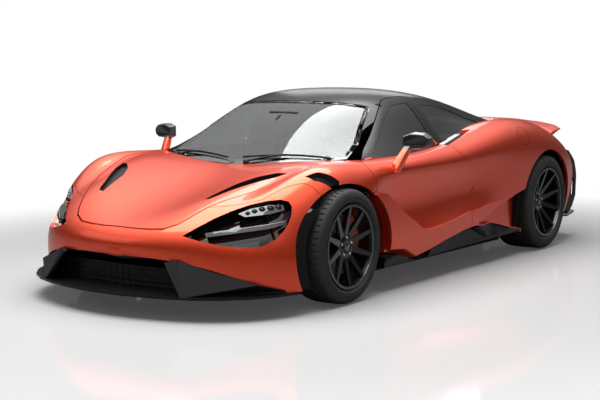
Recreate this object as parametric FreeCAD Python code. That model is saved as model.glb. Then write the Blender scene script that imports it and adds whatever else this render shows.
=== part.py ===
import FreeCAD, Part
import math
import os

# Mid-engined two-seat coupe with lifting doors.
# Millimetres, +Z up, the nose faces -Y, the car's left side is +X.
# The origin is on the ground, halfway along the car, on its centre line.

V = FreeCAD.Vector
os.makedirs("parts", exist_ok=True)

# Driving dimensions
body_length = 4600.0
front_axle_y = -1260.0
rear_axle_y = 1410.0
front_tyre_x = 837.0
rear_tyre_x = 808.0
front_tyre_d = 654.0
rear_tyre_d = 691.0
front_tyre_w = 245.0
rear_tyre_w = 305.0
front_rim_d = 483.0
rear_rim_d = 508.0
hub_bore_d = 60.0
spoke_count = 10

panel_t = 24.0
frame_t = 30.0
glass_t = 5.0
glass_set_back = 3.0
tray_t = 18.0
liner_t = 5.0
seam = 6.0
panel_gap = 3.0
stop_gap = 0.3

floor_z = 105.0
floor_t = 22.0
splitter_z = 120.0
splitter_t = 12.0
sill_in_x = 690.0
sill_out_x = 784.0
door_in_x = 798.0

bearing_r = 36.0
bearing_gap = 0.1
kingpin_x = 745.0
kingpin_r = 14.0
kingpin_gap = 0.05
hinge_pin_r = 4.0
wing_pin_r = 6.0
column_r = 12.0

nose_y = -body_length / 2.0
tail_y = body_length / 2.0
front_r = front_tyre_d / 2.0
rear_r = rear_tyre_d / 2.0
floor_top = floor_z + floor_t
splitter_top = splitter_z + splitter_t


# Lower body: each row runs from the centre line over the crest to the sill.
# Rows go from the lower edge of the nose to the tail.
body_rows = [
    [(0, -2158, 308), (150, -2160, 312), (330, -2148, 312), (500, -2103, 292),
     (640, -2033, 252), (740, -1948, 205), (820, -1858, 160), (868, -1783, 138),
     (895, -1715, 124), (908, -1650, 116), (915, -1590, 112), (920, -1530, 110),
     (922, -1470, 110)],
    [(0, -2182, 350), (165, -2178, 353), (345, -2155, 355), (512, -2105, 345),
     (650, -2030, 320), (748, -1948, 285), (828, -1858, 245), (874, -1780, 210),
     (900, -1710, 180), (912, -1645, 160), (920, -1585, 145), (925, -1525, 135),
     (926, -1465, 130)],
    [(0, -2168, 405), (170, -2163, 412), (345, -2140, 428), (508, -2095, 428),
     (645, -2022, 405), (748, -1942, 388), (832, -1850, 372), (880, -1768, 340),
     (906, -1695, 295), (918, -1630, 250), (926, -1570, 215), (930, -1510, 185),
     (930, -1450, 165)],
    [(0, -2128, 458), (160, -2112, 472), (315, -2080, 495), (455, -2038, 508),
     (575, -1985, 508), (680, -1922, 503), (775, -1848, 482), (842, -1772, 440),
     (885, -1705, 385), (910, -1645, 325), (924, -1585, 275), (930, -1520, 230),
     (932, -1450, 195)],
    [(0, -2000, 500), (170, -1985, 522), (330, -1960, 562), (440, -1922, 592),
     (580, -1870, 582), (688, -1815, 590), (782, -1752, 568), (850, -1695, 518),
     (893, -1645, 450), (916, -1600, 380), (930, -1550, 320), (936, -1500, 265),
     (936, -1440, 220)],
    [(0, -1850, 548), (190, -1840, 572), (370, -1830, 618), (480, -1792, 644),
     (605, -1752, 620), (710, -1705, 660), (802, -1662, 645), (868, -1620, 592),
     (908, -1585, 520), (928, -1550, 440), (940, -1515, 370), (944, -1475, 305),
     (942, -1430, 245)],
    [(0, -1680, 605), (200, -1672, 628), (425, -1660, 675), (545, -1632, 690),
     (640, -1602, 664), (733, -1570, 730), (815, -1545, 722), (880, -1515, 670),
     (920, -1490, 590), (940, -1465, 500), (948, -1445, 410), (950, -1425, 330),
     (948, -1410, 250)],
    [(0, -1480, 668), (210, -1475, 690), (470, -1465, 730), (600, -1450, 738),
     (675, -1440, 716), (755, -1430, 783), (832, -1420, 772), (892, -1405, 715),
     (930, -1395, 630), (948, -1385, 535), (955, -1375, 435), (955, -1365, 340),
     (950, -1360, 240)],
    [(0, -1260, 728), (220, -1258, 742), (510, -1255, 775), (630, -1250, 772),
     (702, -1245, 765), (770, -1240, 800), (845, -1235, 785), (902, -1230, 730),
     (938, -1225, 645), (952, -1220, 545), (958, -1215, 440), (956, -1210, 330),
     (945, -1205, 200)],
    [(0, -1060, 748), (230, -1050, 758), (530, -1035, 778), (650, -1030, 779),
     (715, -1025, 776), (780, -1020, 790), (852, -1018, 775), (908, -1015, 725),
     (938, -1012, 655), (950, -1010, 560), (957, -1010, 450), (955, -1010, 320),
     (938, -1010, 170)],
    [(0, -860, 760), (235, -860, 768), (540, -860, 780), (660, -860, 780),
     (730, -860, 780), (800, -860, 783), (872, -860, 768), (922, -860, 725),
     (940, -860, 668), (950, -860, 590), (957, -860, 470), (955, -860, 310),
     (935, -860, 120)],
    [(0, -700, 770), (235, -700, 775), (540, -700, 782), (660, -700, 782),
     (735, -700, 782), (805, -700, 784), (880, -700, 774), (928, -700, 735),
     (942, -700, 680), (950, -700, 590), (957, -700, 460), (955, -700, 300),
     (932, -700, 115)],
    [(0, -540, 775), (235, -540, 780), (540, -540, 785), (660, -540, 785),
     (735, -540, 785), (805, -540, 787), (885, -540, 783), (932, -540, 740),
     (944, -540, 680), (952, -540, 590), (958, -540, 450), (955, -540, 290),
     (930, -540, 110)],
    [(0, -380, 782), (235, -380, 785), (540, -380, 790), (660, -380, 790),
     (735, -380, 790), (800, -380, 792), (885, -380, 795), (936, -380, 745),
     (946, -380, 682), (952, -380, 590), (958, -380, 450), (954, -380, 290),
     (928, -380, 110)],
    [(0, -150, 795), (235, -150, 798), (530, -150, 800), (650, -150, 803),
     (725, -150, 806), (790, -150, 806), (880, -150, 808), (938, -150, 752),
     (948, -150, 690), (953, -150, 590), (957, -150, 450), (952, -150, 290),
     (925, -150, 110)],
    [(0, 150, 820), (230, 150, 825), (510, 150, 835), (630, 150, 840),
     (705, 150, 843), (775, 150, 842), (862, 150, 836), (935, 150, 775),
     (950, 150, 700), (955, 150, 600), (957, 150, 460), (950, 150, 300),
     (922, 150, 110)],
    [(0, 500, 860), (220, 500, 866), (480, 500, 880), (600, 500, 892),
     (680, 500, 903), (765, 500, 908), (852, 500, 892), (930, 500, 825),
     (952, 500, 725), (958, 500, 610), (958, 500, 470), (948, 500, 310),
     (920, 500, 110)],
    [(0, 850, 890), (210, 850, 896), (450, 850, 910), (580, 850, 925),
     (670, 850, 950), (765, 850, 968), (855, 850, 945), (928, 850, 875),
     (958, 850, 765), (962, 850, 640), (960, 850, 490), (948, 850, 330),
     (920, 850, 130)],
    [(0, 1150, 905), (200, 1150, 908), (430, 1150, 915), (560, 1150, 928),
     (655, 1150, 955), (750, 1150, 978), (845, 1150, 962), (925, 1150, 895),
     (962, 1150, 780), (968, 1150, 650), (968, 1150, 500), (960, 1150, 350),
     (930, 1150, 200)],
    [(0, 1450, 905), (200, 1450, 906), (420, 1450, 910), (550, 1450, 918),
     (650, 1450, 932), (740, 1450, 940), (838, 1450, 920), (922, 1450, 855),
     (962, 1450, 755), (968, 1450, 640), (968, 1450, 500), (960, 1450, 360),
     (935, 1450, 220)],
    [(0, 1760, 880), (200, 1760, 880), (420, 1760, 878), (550, 1755, 876),
     (645, 1750, 872), (735, 1745, 862), (830, 1740, 835), (908, 1735, 785),
     (950, 1730, 700), (958, 1730, 600), (955, 1730, 480), (945, 1730, 350),
     (920, 1730, 220)],
    [(0, 2020, 845), (200, 2015, 843), (420, 2000, 835), (550, 1990, 822),
     (640, 1980, 802), (725, 1970, 780), (812, 1950, 745), (882, 1930, 700),
     (922, 1915, 640), (930, 1905, 560), (928, 1900, 460), (918, 1895, 350),
     (895, 1890, 230)],
    [(0, 2225, 800), (200, 2215, 797), (410, 2190, 785), (530, 2165, 765),
     (615, 2140, 738), (695, 2110, 710), (775, 2080, 680), (840, 2050, 645),
     (885, 2025, 600), (898, 2010, 535), (898, 2000, 450), (890, 1990, 350),
     (870, 1980, 240)],
]

cabin_rows = [
    [(0, -1150, 737), (250, -1118, 744), (470, -1052, 758), (615, -968, 770),
     (700, -915, 776), (745, -890, 779), (778, -872, 781)],
    [(0, -930, 862), (240, -905, 864), (440, -845, 870), (575, -765, 874),
     (665, -690, 874), (730, -640, 842), (792, -600, 784)],
    [(0, -690, 997), (230, -668, 997), (420, -620, 997), (545, -555, 993),
     (628, -485, 976), (702, -440, 890), (797, -400, 790)],
    [(0, -430, 1128), (220, -412, 1127), (400, -372, 1121), (515, -320, 1105),
     (592, -270, 1058), (690, -230, 932), (795, -190, 802)],
    [(0, -170, 1188), (215, -160, 1184), (390, -140, 1171), (505, -110, 1143),
     (583, -80, 1086), (690, -60, 952), (786, -40, 818)],
    [(0, 100, 1195), (210, 100, 1190), (380, 100, 1175), (495, 100, 1146),
     (573, 100, 1092), (675, 100, 965), (765, 100, 840)],
    [(0, 400, 1178), (205, 400, 1171), (365, 400, 1152), (475, 400, 1120),
     (553, 400, 1068), (642, 400, 970), (722, 400, 885)],
    [(0, 700, 1148), (195, 700, 1138), (345, 700, 1115), (448, 700, 1080),
     (525, 700, 1034), (602, 700, 975), (675, 700, 935)],
    [(0, 1000, 1103), (185, 1000, 1091), (325, 1000, 1065), (422, 1000, 1030),
     (495, 1000, 995), (565, 1000, 960), (635, 1000, 940)],
    [(0, 1300, 1040), (170, 1300, 1027), (300, 1300, 1003), (390, 1300, 975),
     (458, 1300, 950), (522, 1300, 930), (588, 1300, 920)],
    [(0, 1570, 975), (160, 1570, 965), (280, 1570, 948), (365, 1570, 928),
     (430, 1570, 915), (490, 1570, 905), (550, 1570, 898)],
]

# Side channel: the rows of the lower body whose flank is drawn in, by row number
channel_rows = {
    10: [(922, 725), (925, 668), (890, 585), (880, 480), (900, 380), (930, 120)],
    11: [(928, 735), (930, 682), (885, 590), (872, 490), (890, 400), (932, 115)],
    12: [(932, 740), (935, 684), (890, 590), (868, 480), (895, 380), (930, 110)],
    13: [(936, 745), (940, 686), (897, 590), (878, 470), (915, 360), (958, 250)],
    14: [(938, 752), (944, 692), (905, 600), (895, 480), (925, 385), (962, 320)],
    15: [(935, 775), (949, 701), (915, 610), (908, 500), (935, 420), (962, 350)],
    16: [(930, 825), (952, 725), (930, 620), (930, 520), (950, 440), (960, 370)],
}

# Side outline of the channel: along the shoulder, then back along the edge of the blade
channel_side = [(-1262, 1100), (1200, 1100), (1200, 450), (800, 440), (507, 423),
                (311, 400), (136, 388), (-4, 366),
                (-141, 347), (-274, 335), (-379, 335), (-443, 346), (-494, 370),
                (-557, 405), (-620, 436), (-693, 474), (-766, 523), (-825, 564),
                (-872, 597), (-941, 601), (-997, 594), (-1262, 594)]


def mirrored_net(rows):
    net = []
    for row in rows:
        right = [V(-x, y, z) for x, y, z in reversed(row[1:])]
        left = [V(x, y, z) for x, y, z in row]
        net.append(right + left)
    return net


def knots(count, degree=3):
    spans = count - degree
    values = [float(i) for i in range(spans + 1)]
    counts = [degree + 1] + [1] * (spans - 1) + [degree + 1]
    return values, counts


def greville(count, degree=3):
    values, counts = knots(count, degree)
    flat = []
    for value, times in zip(values, counts):
        flat.extend([value] * times)
    return [sum(flat[i + 1:i + degree + 1]) / degree for i in range(count)]


def surface(net):
    ku, mu = knots(len(net))
    kv, mv = knots(len(net[0]))
    s = Part.BSplineSurface()
    s.buildFromPolesMultsKnots(net, mu, mv, ku, kv, False, False, 3, 3)
    return s


def moved_in(net, depth):
    s = surface(net)
    gu = greville(len(net))
    gv = greville(len(net[0]))
    out = []
    for i, row in enumerate(net):
        new_row = []
        for j, p in enumerate(row):
            n = s.normal(gu[i], gv[j])
            if n.dot(V(p.x, 0, p.z - 300)) < 0:
                n = n * -1.0
            new_row.append(p - n * depth)
        out.append(new_row)
    return out


def drawn_in(net, fx, fz):
    return [[V(p.x * fx, p.y, floor_z + (p.z - floor_z) * fz) for p in row] for row in net]


def between(outer_net, inner_net):
    f1 = surface(outer_net).toShape()
    f2 = surface(inner_net).toShape()
    faces = [f1, f2]
    for e1, e2 in zip(f1.Edges, f2.Edges):
        faces.append(Part.makeRuledSurface(e1, e2))
    shell = Part.makeShell(faces)
    shell.sewShape()
    solid = Part.makeSolid(shell)
    if solid.Volume < 0:
        solid.reverse()
    return solid


def prism_z(points, z0, z1):
    pts = [V(x, y, z0) for x, y in points]
    face = Part.Face(Part.makePolygon(pts + [pts[0]]))
    return face.extrude(V(0, 0, z1 - z0))


def prism_x(points, x0, x1):
    pts = [V(x0, y, z) for y, z in points]
    face = Part.Face(Part.makePolygon(pts + [pts[0]]))
    return face.extrude(V(x1 - x0, 0, 0))


# A side outline drawn at x = at_x, carried inwards and outwards along a leaning line
def leaning(points, lean_y, lean_z, at_x, x0, x1):
    pts = [V(x0, y + lean_y * (x0 - at_x), z + lean_z * (x0 - at_x)) for y, z in points]
    face = Part.Face(Part.makePolygon(pts + [pts[0]]))
    return face.extrude(V(x1 - x0, lean_y * (x1 - x0), lean_z * (x1 - x0)))


# An outline drawn in the plane of two directions, carried along a third
def sight_prism(points, origin, right, up, along, near, far):
    pts = [origin + right * a + up * b + along * near for a, b in points]
    face = Part.Face(Part.makePolygon(pts + [pts[0]]))
    return face.extrude(along * (far - near))


def box(x0, x1, y0, y1, z0, z1):
    return Part.makeBox(x1 - x0, y1 - y0, z1 - z0, V(x0, y0, z0))


def mirror(shape):
    return shape.mirror(V(0, 0, 0), V(1, 0, 0))


def both(shape):
    return Part.makeCompound([shape, mirror(shape)])


def oval_x(y, z, ry, rz, x0, x1):
    ellipse = Part.Ellipse(V(0, 0, 0), max(ry, rz), min(ry, rz))
    face = Part.Face(Part.Wire(ellipse.toShape()))
    face.rotate(V(0, 0, 0), V(0, 0, 1), 90.0)
    face.rotate(V(0, 0, 0), V(0, 1, 0), 90.0)
    if rz > ry:
        face.rotate(V(0, 0, 0), V(1, 0, 0), 90.0)
    face.translate(V(x0, y, z))
    return face.extrude(V(x1 - x0, 0, 0))


def widened(points, d):
    count = len(points)
    area = 0.0
    for i in range(count):
        x0, y0 = points[i]
        x1, y1 = points[(i + 1) % count]
        area += x0 * y1 - x1 * y0
    turn = 1.0 if area > 0 else -1.0
    lines = []
    for i in range(count):
        x0, y0 = points[i]
        x1, y1 = points[(i + 1) % count]
        dx, dy = x1 - x0, y1 - y0
        size = math.hypot(dx, dy)
        nx, ny = turn * dy / size, -turn * dx / size
        lines.append((x0 + nx * d, y0 + ny * d, dx / size, dy / size))
    out = []
    for i in range(count):
        ax, ay, adx, ady = lines[i - 1]
        bx, by, bdx, bdy = lines[i]
        det = adx * bdy - ady * bdx
        if abs(det) < 1e-6:
            out.append((bx, by))
            continue
        t = ((bx - ax) * bdy - (by - ay) * bdx) / det
        out.append((ax + adx * t, ay + ady * t))
    return out


def sym(points):
    return points + [(-x, y) for x, y in reversed(points) if abs(x) > 0.01]


def largest(shape):
    return max(shape.Solids, key=lambda s: s.Volume)


def save(shape, name):
    if len(shape.Solids) == 1:
        shape = shape.Solids[0]
    shape.exportStep("parts/" + name + ".step")


def save_pair(shape, name):
    save(shape, name + "_left")
    save(mirror(shape), name + "_right")


# Skins of the lower body, with the channel let into each flank
body_net = mirrored_net(body_rows)
flank_start = 7
channel_body = []
for row_number, body_row in enumerate(body_rows):
    new_row = list(body_row)
    for offset, (x, z) in enumerate(channel_rows.get(row_number, [])):
        new_row[flank_start + offset] = (x, body_row[flank_start + offset][1], z)
    channel_body.append(new_row)
channel_net = mirrored_net(channel_body)
channel_zone = both(prism_x(channel_side, 640, 1100))

body_in_net = moved_in(body_net, panel_t)
channel_in_net = moved_in(channel_net, panel_t)
for row_number, net_row in enumerate(body_net):
    for column, pole in enumerate(net_row):
        if (channel_net[row_number][column] - pole).Length < 0.01:
            channel_in_net[row_number][column] = body_in_net[row_number][column]
plain_skin = between(body_net, body_in_net)
channel_skin = between(channel_net, channel_in_net)

door_draw_x = 0.835
door_draw_z = 0.9
plain_thick = between(body_net, drawn_in(body_net, door_draw_x, door_draw_z))
channel_thick = between(channel_net, drawn_in(channel_net, door_draw_x, door_draw_z))

# The space inside the skin, from which ribs and flanges are cut so that they meet it
core_in_net = [[V(p.x * 0.3, max(-1700, min(1700, p.y)), p.z * 0.5) for p in row]
               for row in body_net]
core = between(body_in_net, core_in_net)
tray_band = between(body_in_net, moved_in(body_net, panel_t + tray_t))

# Skins of the upper body
cabin_net = mirrored_net(cabin_rows)
cabin_in_net = moved_in(cabin_net, frame_t)
cabin_skin = between(cabin_net, cabin_in_net)
glass_skin = between(moved_in(cabin_net, glass_set_back),
                     moved_in(cabin_net, glass_set_back + glass_t))
cabin_core_net = [[V(p.x * 0.86, p.y, p.z * 0.5 + 320) for p in row] for row in cabin_in_net]

# Plan outline of the cabin opening in the lower body
cabin_half = [(0, -1150), (250, -1118), (470, -1052), (615, -968), (700, -915),
              (778, -872), (792, -600), (797, -400), (795, -190), (786, -40),
              (765, 100), (722, 400), (675, 700), (635, 1000), (588, 1300),
              (550, 1570), (0, 1570)]
cabin_plan = sym(cabin_half)
cabin_hole = prism_z(cabin_plan, 400, 1400)

# Wheel arches: centre, half length and half height of each oval
front_arch_y = front_axle_y - 8
front_arch_z = 300.0
front_arch_ry = 446.0
front_arch_rz = 380.0
rear_arch_z = 340.0
rear_arch_ry = 435.0
rear_arch_rz = 392.0
front_arch = oval_x(front_arch_y, front_arch_z, front_arch_ry, front_arch_rz, 490, 1100)
rear_arch = oval_x(rear_axle_y, rear_arch_z, rear_arch_ry, rear_arch_rz, 490, 1100)
arches = both(front_arch.fuse(rear_arch))


# The plain skin outside the channel and the drawn-in one inside it
fuse_slack = 0.02


def split_skin(plain, channel):
    outside = plain.cut(channel_zone).cut(arches)
    inside = channel.common(channel_zone).cut(cabin_hole).cut(arches)
    return outside, inside


def joined(parts, region):
    outside, inside = parts
    return outside.common(region).multiFuse([inside.common(region)], fuse_slack)


open_skin = plain_skin.cut(cabin_hole)
thin_parts = split_skin(open_skin, channel_skin)
thick_parts = split_skin(plain_thick.cut(cabin_hole), channel_thick)
tail_skin = thin_parts[0].common(box(-1000, 1000, 1700, 2400, 150, 1000))
nose_skin = open_skin.common(box(-1000, 1000, -1100, -500, 500, 1000))

# Bonnet
bonnet_half = [(0, -2108), (124, -2112), (215, -2109), (301, -2097), (369, -2060),
               (407, -2012), (483, -1881), (568, -1739), (628, -1612), (681, -1414),
               (711, -1295), (722, -1150), (724, -1040), (716, -975), (690, -944),
               (615, -985), (470, -1068), (250, -1134), (0, -1166)]
bonnet_plan = sym(bonnet_half)
bonnet_wide = prism_z(widened(bonnet_plan, seam), 400, 900)
bonnet = largest(open_skin.common(prism_z(bonnet_plan, 420, 900)))

# Openings in the bonnet, one each side of its raised middle
vent_half = [(410, -1850), (376, -1850), (400, -1760), (434, -1618), (494, -1516),
             (573, -1439), (627, -1416), (605, -1495), (540, -1613), (473, -1732),
             (436, -1810)]
vent_zone = prism_z(vent_half, 400, 900)
bonnet = bonnet.cut(both(vent_zone))
bonnet_vents = both(largest(tray_band.common(prism_z(widened(vent_half, 12), 400, 900))))

# Doors: side outline of the part below the waist, and the line of its lower edge
door_plane_x = 940.0
door_rear = [(-1500, 1500), (75, 1500), (75, 800), (150, 740), (262, 620), (280, 564),
             (238, 520), (211, 469), (206, 388), (210, 293), (200, 20), (-1500, 20)]
door_front = [(-956, 1500), (1500, 1500), (1500, 20), (-1010, 20), (-1010, 604),
              (-962, 620), (-953, 653), (-948, 696), (-976, 766), (-980, 827),
              (-956, 884)]
door_foot = [(-1100, 268), (-849, 259), (-666, 242), (-617, 227), (-567, 205),
             (-504, 182), (-318, 205), (-132, 238), (104, 272), (300, 292),
             (300, 1800), (-1100, 1800)]
cowl_corner = [(690, -1040), (812, -1040), (818, -946), (777, -876), (690, -876)]
rear_lean = (0.24, 0.8)
front_lean = (0.04, 0.9)
foot_lean = (0.2, 0.4)


def door_region(extra):
    rear = leaning(widened(door_rear, extra), rear_lean[0], rear_lean[1],
                   door_plane_x, 600, 1100)
    front = leaning(widened(door_front, extra), front_lean[0], front_lean[1],
                    door_plane_x, 600, 1100)
    foot = leaning(widened(door_foot, extra), foot_lean[0], foot_lean[1],
                   door_plane_x, 600, 1100)
    corner = prism_z(widened(cowl_corner, -extra), 400, 1400) if extra > 0 else prism_z(
        cowl_corner, 400, 1400)
    return rear.common(front).common(foot).cut(corner)


door_zone = door_region(0.0)
door_wide = door_region(seam)
lip_x = 902.0
lip_slot_x = 925.0
lip_arch = oval_x(front_arch_y, front_arch_z, front_arch_ry, front_arch_rz, 490, lip_x)
blade_arch = oval_x(front_arch_y, front_arch_z, front_arch_ry - 22, front_arch_rz + 12,
                    lip_x, 1100)
lip_slot = oval_x(front_arch_y, front_arch_z, front_arch_ry + 44, front_arch_rz + 44,
                  lip_x, lip_slot_x).common(box(lip_x, lip_slot_x, -1000, -700, 185, 560))
door_block = box(door_in_x, 1100, -690, 400, 135, 1000)
door_block = door_block.fuse(box(872, 1100, -1000, -690, 150, 1000)).common(door_zone)
door_low = joined(thick_parts, door_block)
door_low = door_low.fuse(joined(thin_parts, box(790, 1100, -1000, -600, 690, 1000).common(
    door_zone)))
door_low = largest(door_low.cut(lip_arch).cut(blade_arch).cut(lip_slot))

# Front: the bumper and the fender meet at a line from the bonnet over the wheel arch
front_half = [(0, -2450), (1100, -2450), (1100, -1478), (905, -1490), (830, -1545),
              (760, -1640), (700, -1757), (684, -1771), (580, -1854), (476, -1916),
              (0, -1916)]
front_zone = prism_z(sym(front_half), 50, 900)
bonnet_swing = bonnet_wide.translated(V(0, -3, 0))
front_bumper = largest(thin_parts[0].cut(bonnet_wide).cut(bonnet_swing).common(front_zone))
front_bumper = front_bumper.cut(box(-1000, 1000, -2400, -1400, 0, splitter_top))
fender_region = box(0, 1100, -1950, -600, 0, 900).cut(bonnet_wide).cut(door_wide)
fender_region = fender_region.cut(prism_z(widened(sym(front_half), panel_gap), 40, 950))
fender = largest(joined(thin_parts, fender_region))
rear_region = box(-1100, 1100, -100, 2500, 0, 1100).cut(both(door_wide))
rear_all = joined(thin_parts, rear_region)
deck_plan = sym([(0, 1400), (560, 1400), (600, 1700), (600, 2400), (0, 2400)])
rear_deck = largest(rear_all.common(prism_z(deck_plan, 300, 1100)))

# Rear quarter: thick beside the door, with a recess over the sill behind it
thick_rear = joined(thick_parts, box(door_in_x, 1100, -100, 640, 130, 1100).cut(door_wide))
quarter = rear_all.cut(prism_z(widened(deck_plan, panel_gap), 200, 1200))
quarter = quarter.common(box(0, 1100, -200, 2500, 0, 1100)).fuse(thick_rear)
recess_side = [(300, 292), (456, 338), (593, 380), (751, 423), (914, 459), (1048, 485),
               (1160, 480), (1160, 190), (1028, 186), (841, 220), (629, 267), (488, 292),
               (380, 282)]
recess_in_x = 866.0
recess_out_x = 890.0
recess = prism_x(recess_side, recess_out_x, 1100)
recess_wall = prism_x(widened(recess_side, 16), recess_in_x, 960).cut(recess)
recess_wall = recess_wall.common(core.fuse(plain_skin)).cut(arches).cut(door_wide)
quarter = quarter.cut(recess).fuse(recess_wall)
skirt_top = [(-849, 253), (-832, 250), (-666, 242), (-617, 227), (-567, 205), (-504, 182),
             (-318, 205), (-132, 238), (104, 272), (270, 288), (380, 276), (488, 286),
             (629, 261), (841, 214), (1000, 186)]
quarter = quarter.cut(prism_x(skirt_top + [(1000, 20), (-849, 20)], 600, 1100))
quarter = largest(quarter.cut(cabin_hole).cut(arches))

# Intake behind the door glass, drawn as it is seen from ahead
sight_r = V(0.885, 0.4657, 0)
sight_u = V(-0.0267, 0.0508, 0.9984)
sight_d = V(-0.4649, 0.8835, -0.0573)
intake_at = V(800, 250, 850)
intake_shape = [(-124, -72), (-78, -22), (-26, 19), (38, 79), (116, 119), (129, 109),
                (91, 66), (0, -1), (-64, -45)]
intake_zone = sight_prism(intake_shape, intake_at, sight_r, sight_u, sight_d, -250, 250)
intake_wide = sight_prism(widened(intake_shape, 10), intake_at, sight_r, sight_u,
                          sight_d, -250, 250)
deep_band = between(body_in_net, moved_in(body_net, panel_t + 50))
intake_tray = deep_band.common(intake_wide).cut(cabin_hole).cut(door_wide)
quarter = largest(quarter.cut(intake_zone).cut(intake_tray))

# Outlet on top of the fender, and the black panel ahead of the front wheel
outlet_plan = [(806, -1512), (834, -1424), (906, -1318), (930, -1370), (853, -1489)]
outlet_zone = prism_z(outlet_plan, 640, 900)
outlet_tray = tray_band.common(prism_z(widened(outlet_plan, 10), 600, 900)).cut(arches)
fender = largest(fender.cut(outlet_zone))
panel_recess = 6.0
arch_ring = oval_x(front_arch_y, front_arch_z, front_arch_ry, front_arch_rz, 600, 1100)
arch_ring = arch_ring.cut(oval_x(front_arch_y, front_arch_z, 368, 350, 500, 1200))
arch_ring = arch_ring.common(box(600, 1100, -1800, -1480, 140, 560))
sunk_skin = between(moved_in(body_net, panel_recess), moved_in(body_net, panel_recess + 14))
arch_panel = largest(sunk_skin.common(arch_ring))

# Lamps: eye shaped openings in the front, drawn as they are seen from ahead
lamp_at = V(720, -1880, 490)
lamp_r = V(0.7953, 0.6062, 0)
lamp_u = V(-0.0779, 0.1022, 0.9917)
lamp_d = V(-0.6012, 0.7887, -0.1285)
lamp_shape = [(-363, -50), (-289, -8), (-190, 44), (-100, 83), (-6, 115), (89, 136),
              (158, 143), (200, 133), (218, 106), (216, 64), (199, 17), (168, -33),
              (125, -73), (78, -99), (31, -112), (-58, -112), (-164, -101), (-269, -79)]
fin_shape = [(-243, -36), (-111, -17), (99, 14), (190, 34), (190, 10), (99, -13),
             (-111, -42), (-236, -58)]
unit_shape = [(-69, 66), (-6, 92), (99, 113), (170, 113), (178, 85), (99, 64), (-32, 49)]
lamp_hole = sight_prism(lamp_shape, lamp_at, lamp_r, lamp_u, lamp_d, -260, 200)
lamp_wide = sight_prism(widened(lamp_shape, 12), lamp_at, lamp_r, lamp_u, lamp_d, -260, 260)
front_bumper = front_bumper.cut(both(lamp_hole))
fender = fender.cut(lamp_hole)
bowl_depth = 78.0
bowl_in_net = moved_in(body_net, bowl_depth)
lamp_bowl = between(body_in_net, moved_in(body_net, bowl_depth + 8)).common(lamp_wide)
lamp_bowl = largest(lamp_bowl.cut(between(body_in_net, bowl_in_net).common(lamp_hole)))
fin_band = between(moved_in(body_net, 12), bowl_in_net)
lamp_fin = fin_band.common(sight_prism(fin_shape, lamp_at, lamp_r, lamp_u, lamp_d, -260, 260))
lamp_unit = fin_band.common(sight_prism(unit_shape, lamp_at, lamp_r, lamp_u, lamp_d, -260, 260))
headlamp = lamp_bowl.fuse([lamp_fin, lamp_unit]).cut(front_bumper).cut(fender)
headlamp = largest(headlamp.cut(bonnet_wide).cut(arches))

# Glass and roof
screen_half = [(0, -1136), (245, -1104), (462, -1038), (604, -955), (680, -893),
               (652, -730), (580, -553), (512, -368), (400, -400), (220, -432),
               (0, -446)]
screen_zone = prism_z(sym(screen_half), 600, 1300)
pillar_line = [(752, -845), (700, -745), (648, -580), (590, -420), (545, -310),
               (505, -215), (500, 60)]
upper_door_half = [(1000, -845)] + pillar_line + [(1000, 60)]
upper_door_zone = prism_z(upper_door_half, 700, 1300)
upper_door_wide = prism_z(widened(upper_door_half, seam), 650, 1350)
side_glass_zone = prism_z([(1000, -770), (770, -770), (715, -640), (672, -510),
                           (628, -390), (590, -290), (565, -210), (560, 10),
                           (1000, 10)], 600, 1300)
rear_glass_zone = prism_z(sym([(0, 640), (330, 640), (380, 700), (330, 1000),
                               (290, 1300), (270, 1480), (0, 1500)]), 850, 1300)
quarter_zone = prism_z([(1000, 130), (570, 130), (545, 350), (535, 520), (560, 700),
                        (610, 860), (1000, 860)], 850, 1300)

windscreen = largest(glass_skin.common(screen_zone))
roof = cabin_skin.cut(screen_zone).cut(both(upper_door_wide)).cut(both(quarter_zone))
roof = roof.cut(rear_glass_zone).cut(both(door_wide)).cut(bonnet_wide)
roof = roof.cut(both(fender)).cut(both(quarter)).cut(rear_deck)
roof = largest(roof)
back_glass = largest(glass_skin.common(rear_glass_zone))
side_back_glass = largest(glass_skin.common(quarter_zone).cut(quarter))
rear_glass = Part.makeCompound([back_glass, side_back_glass, mirror(side_back_glass)])
door_frame = cabin_skin.common(upper_door_zone).cut(side_glass_zone)
waist_out = [(781, -806), (795, -600), (800, -400), (798, -190), (789, -40), (779, 40)]
waist_in = [(x - 30, y) for x, y in reversed(waist_out)]
waist_rail = prism_z(waist_out + waist_in, 738, 786).common(door_zone)
door = door_low.fuse([door_frame, waist_rail])
door_glass = largest(glass_skin.common(side_glass_zone).cut(door))

# Door hinge: a pin in the roof rail that a lug of the door turns on
door_axis_foot = V(800, -985, 800)
door_axis_head = V(505, -262, 1095)
door_axis = (door_axis_head - door_axis_foot).normalize()
hinge_at = door_axis_head - door_axis * 42.0
hinge_out = V(1, 0, -0.62)
hinge_out = (hinge_out - door_axis * hinge_out.dot(door_axis)).normalize()
lug_t = 14.0
lug_r = 9.0
notch_t = lug_t + 8.0


def round_bar(radius, size):
    return Part.makeCylinder(radius, size, hinge_at - door_axis * (size / 2.0), door_axis)


def hinge_block(length, thick, low, high):
    up = door_axis.cross(hinge_out)
    if up.z < 0:
        up = up * -1.0
    start = hinge_at - door_axis * (thick / 2.0) + up * low
    corners = [start, start + hinge_out * length,
               start + hinge_out * length + up * (high - low), start + up * (high - low)]
    face = Part.Face(Part.makePolygon(corners + [corners[0]]))
    return face.extrude(door_axis * thick)


notch = round_bar(lug_r + 6, notch_t).fuse(hinge_block(70, notch_t, -lug_r - 6, 60))
pin = round_bar(hinge_pin_r, notch_t + 24)
lug = round_bar(lug_r, lug_t).fuse(hinge_block(46, lug_t, -6, 5))
lug = lug.cut(round_bar(hinge_pin_r + 0.05, lug_t + 2))
door = door.cut(hinge_block(28, notch_t, -30, 40)).fuse(lug)
roof = roof.cut(both(notch)).fuse(both(pin))
roof = largest(roof)
door = largest(door)


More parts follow.
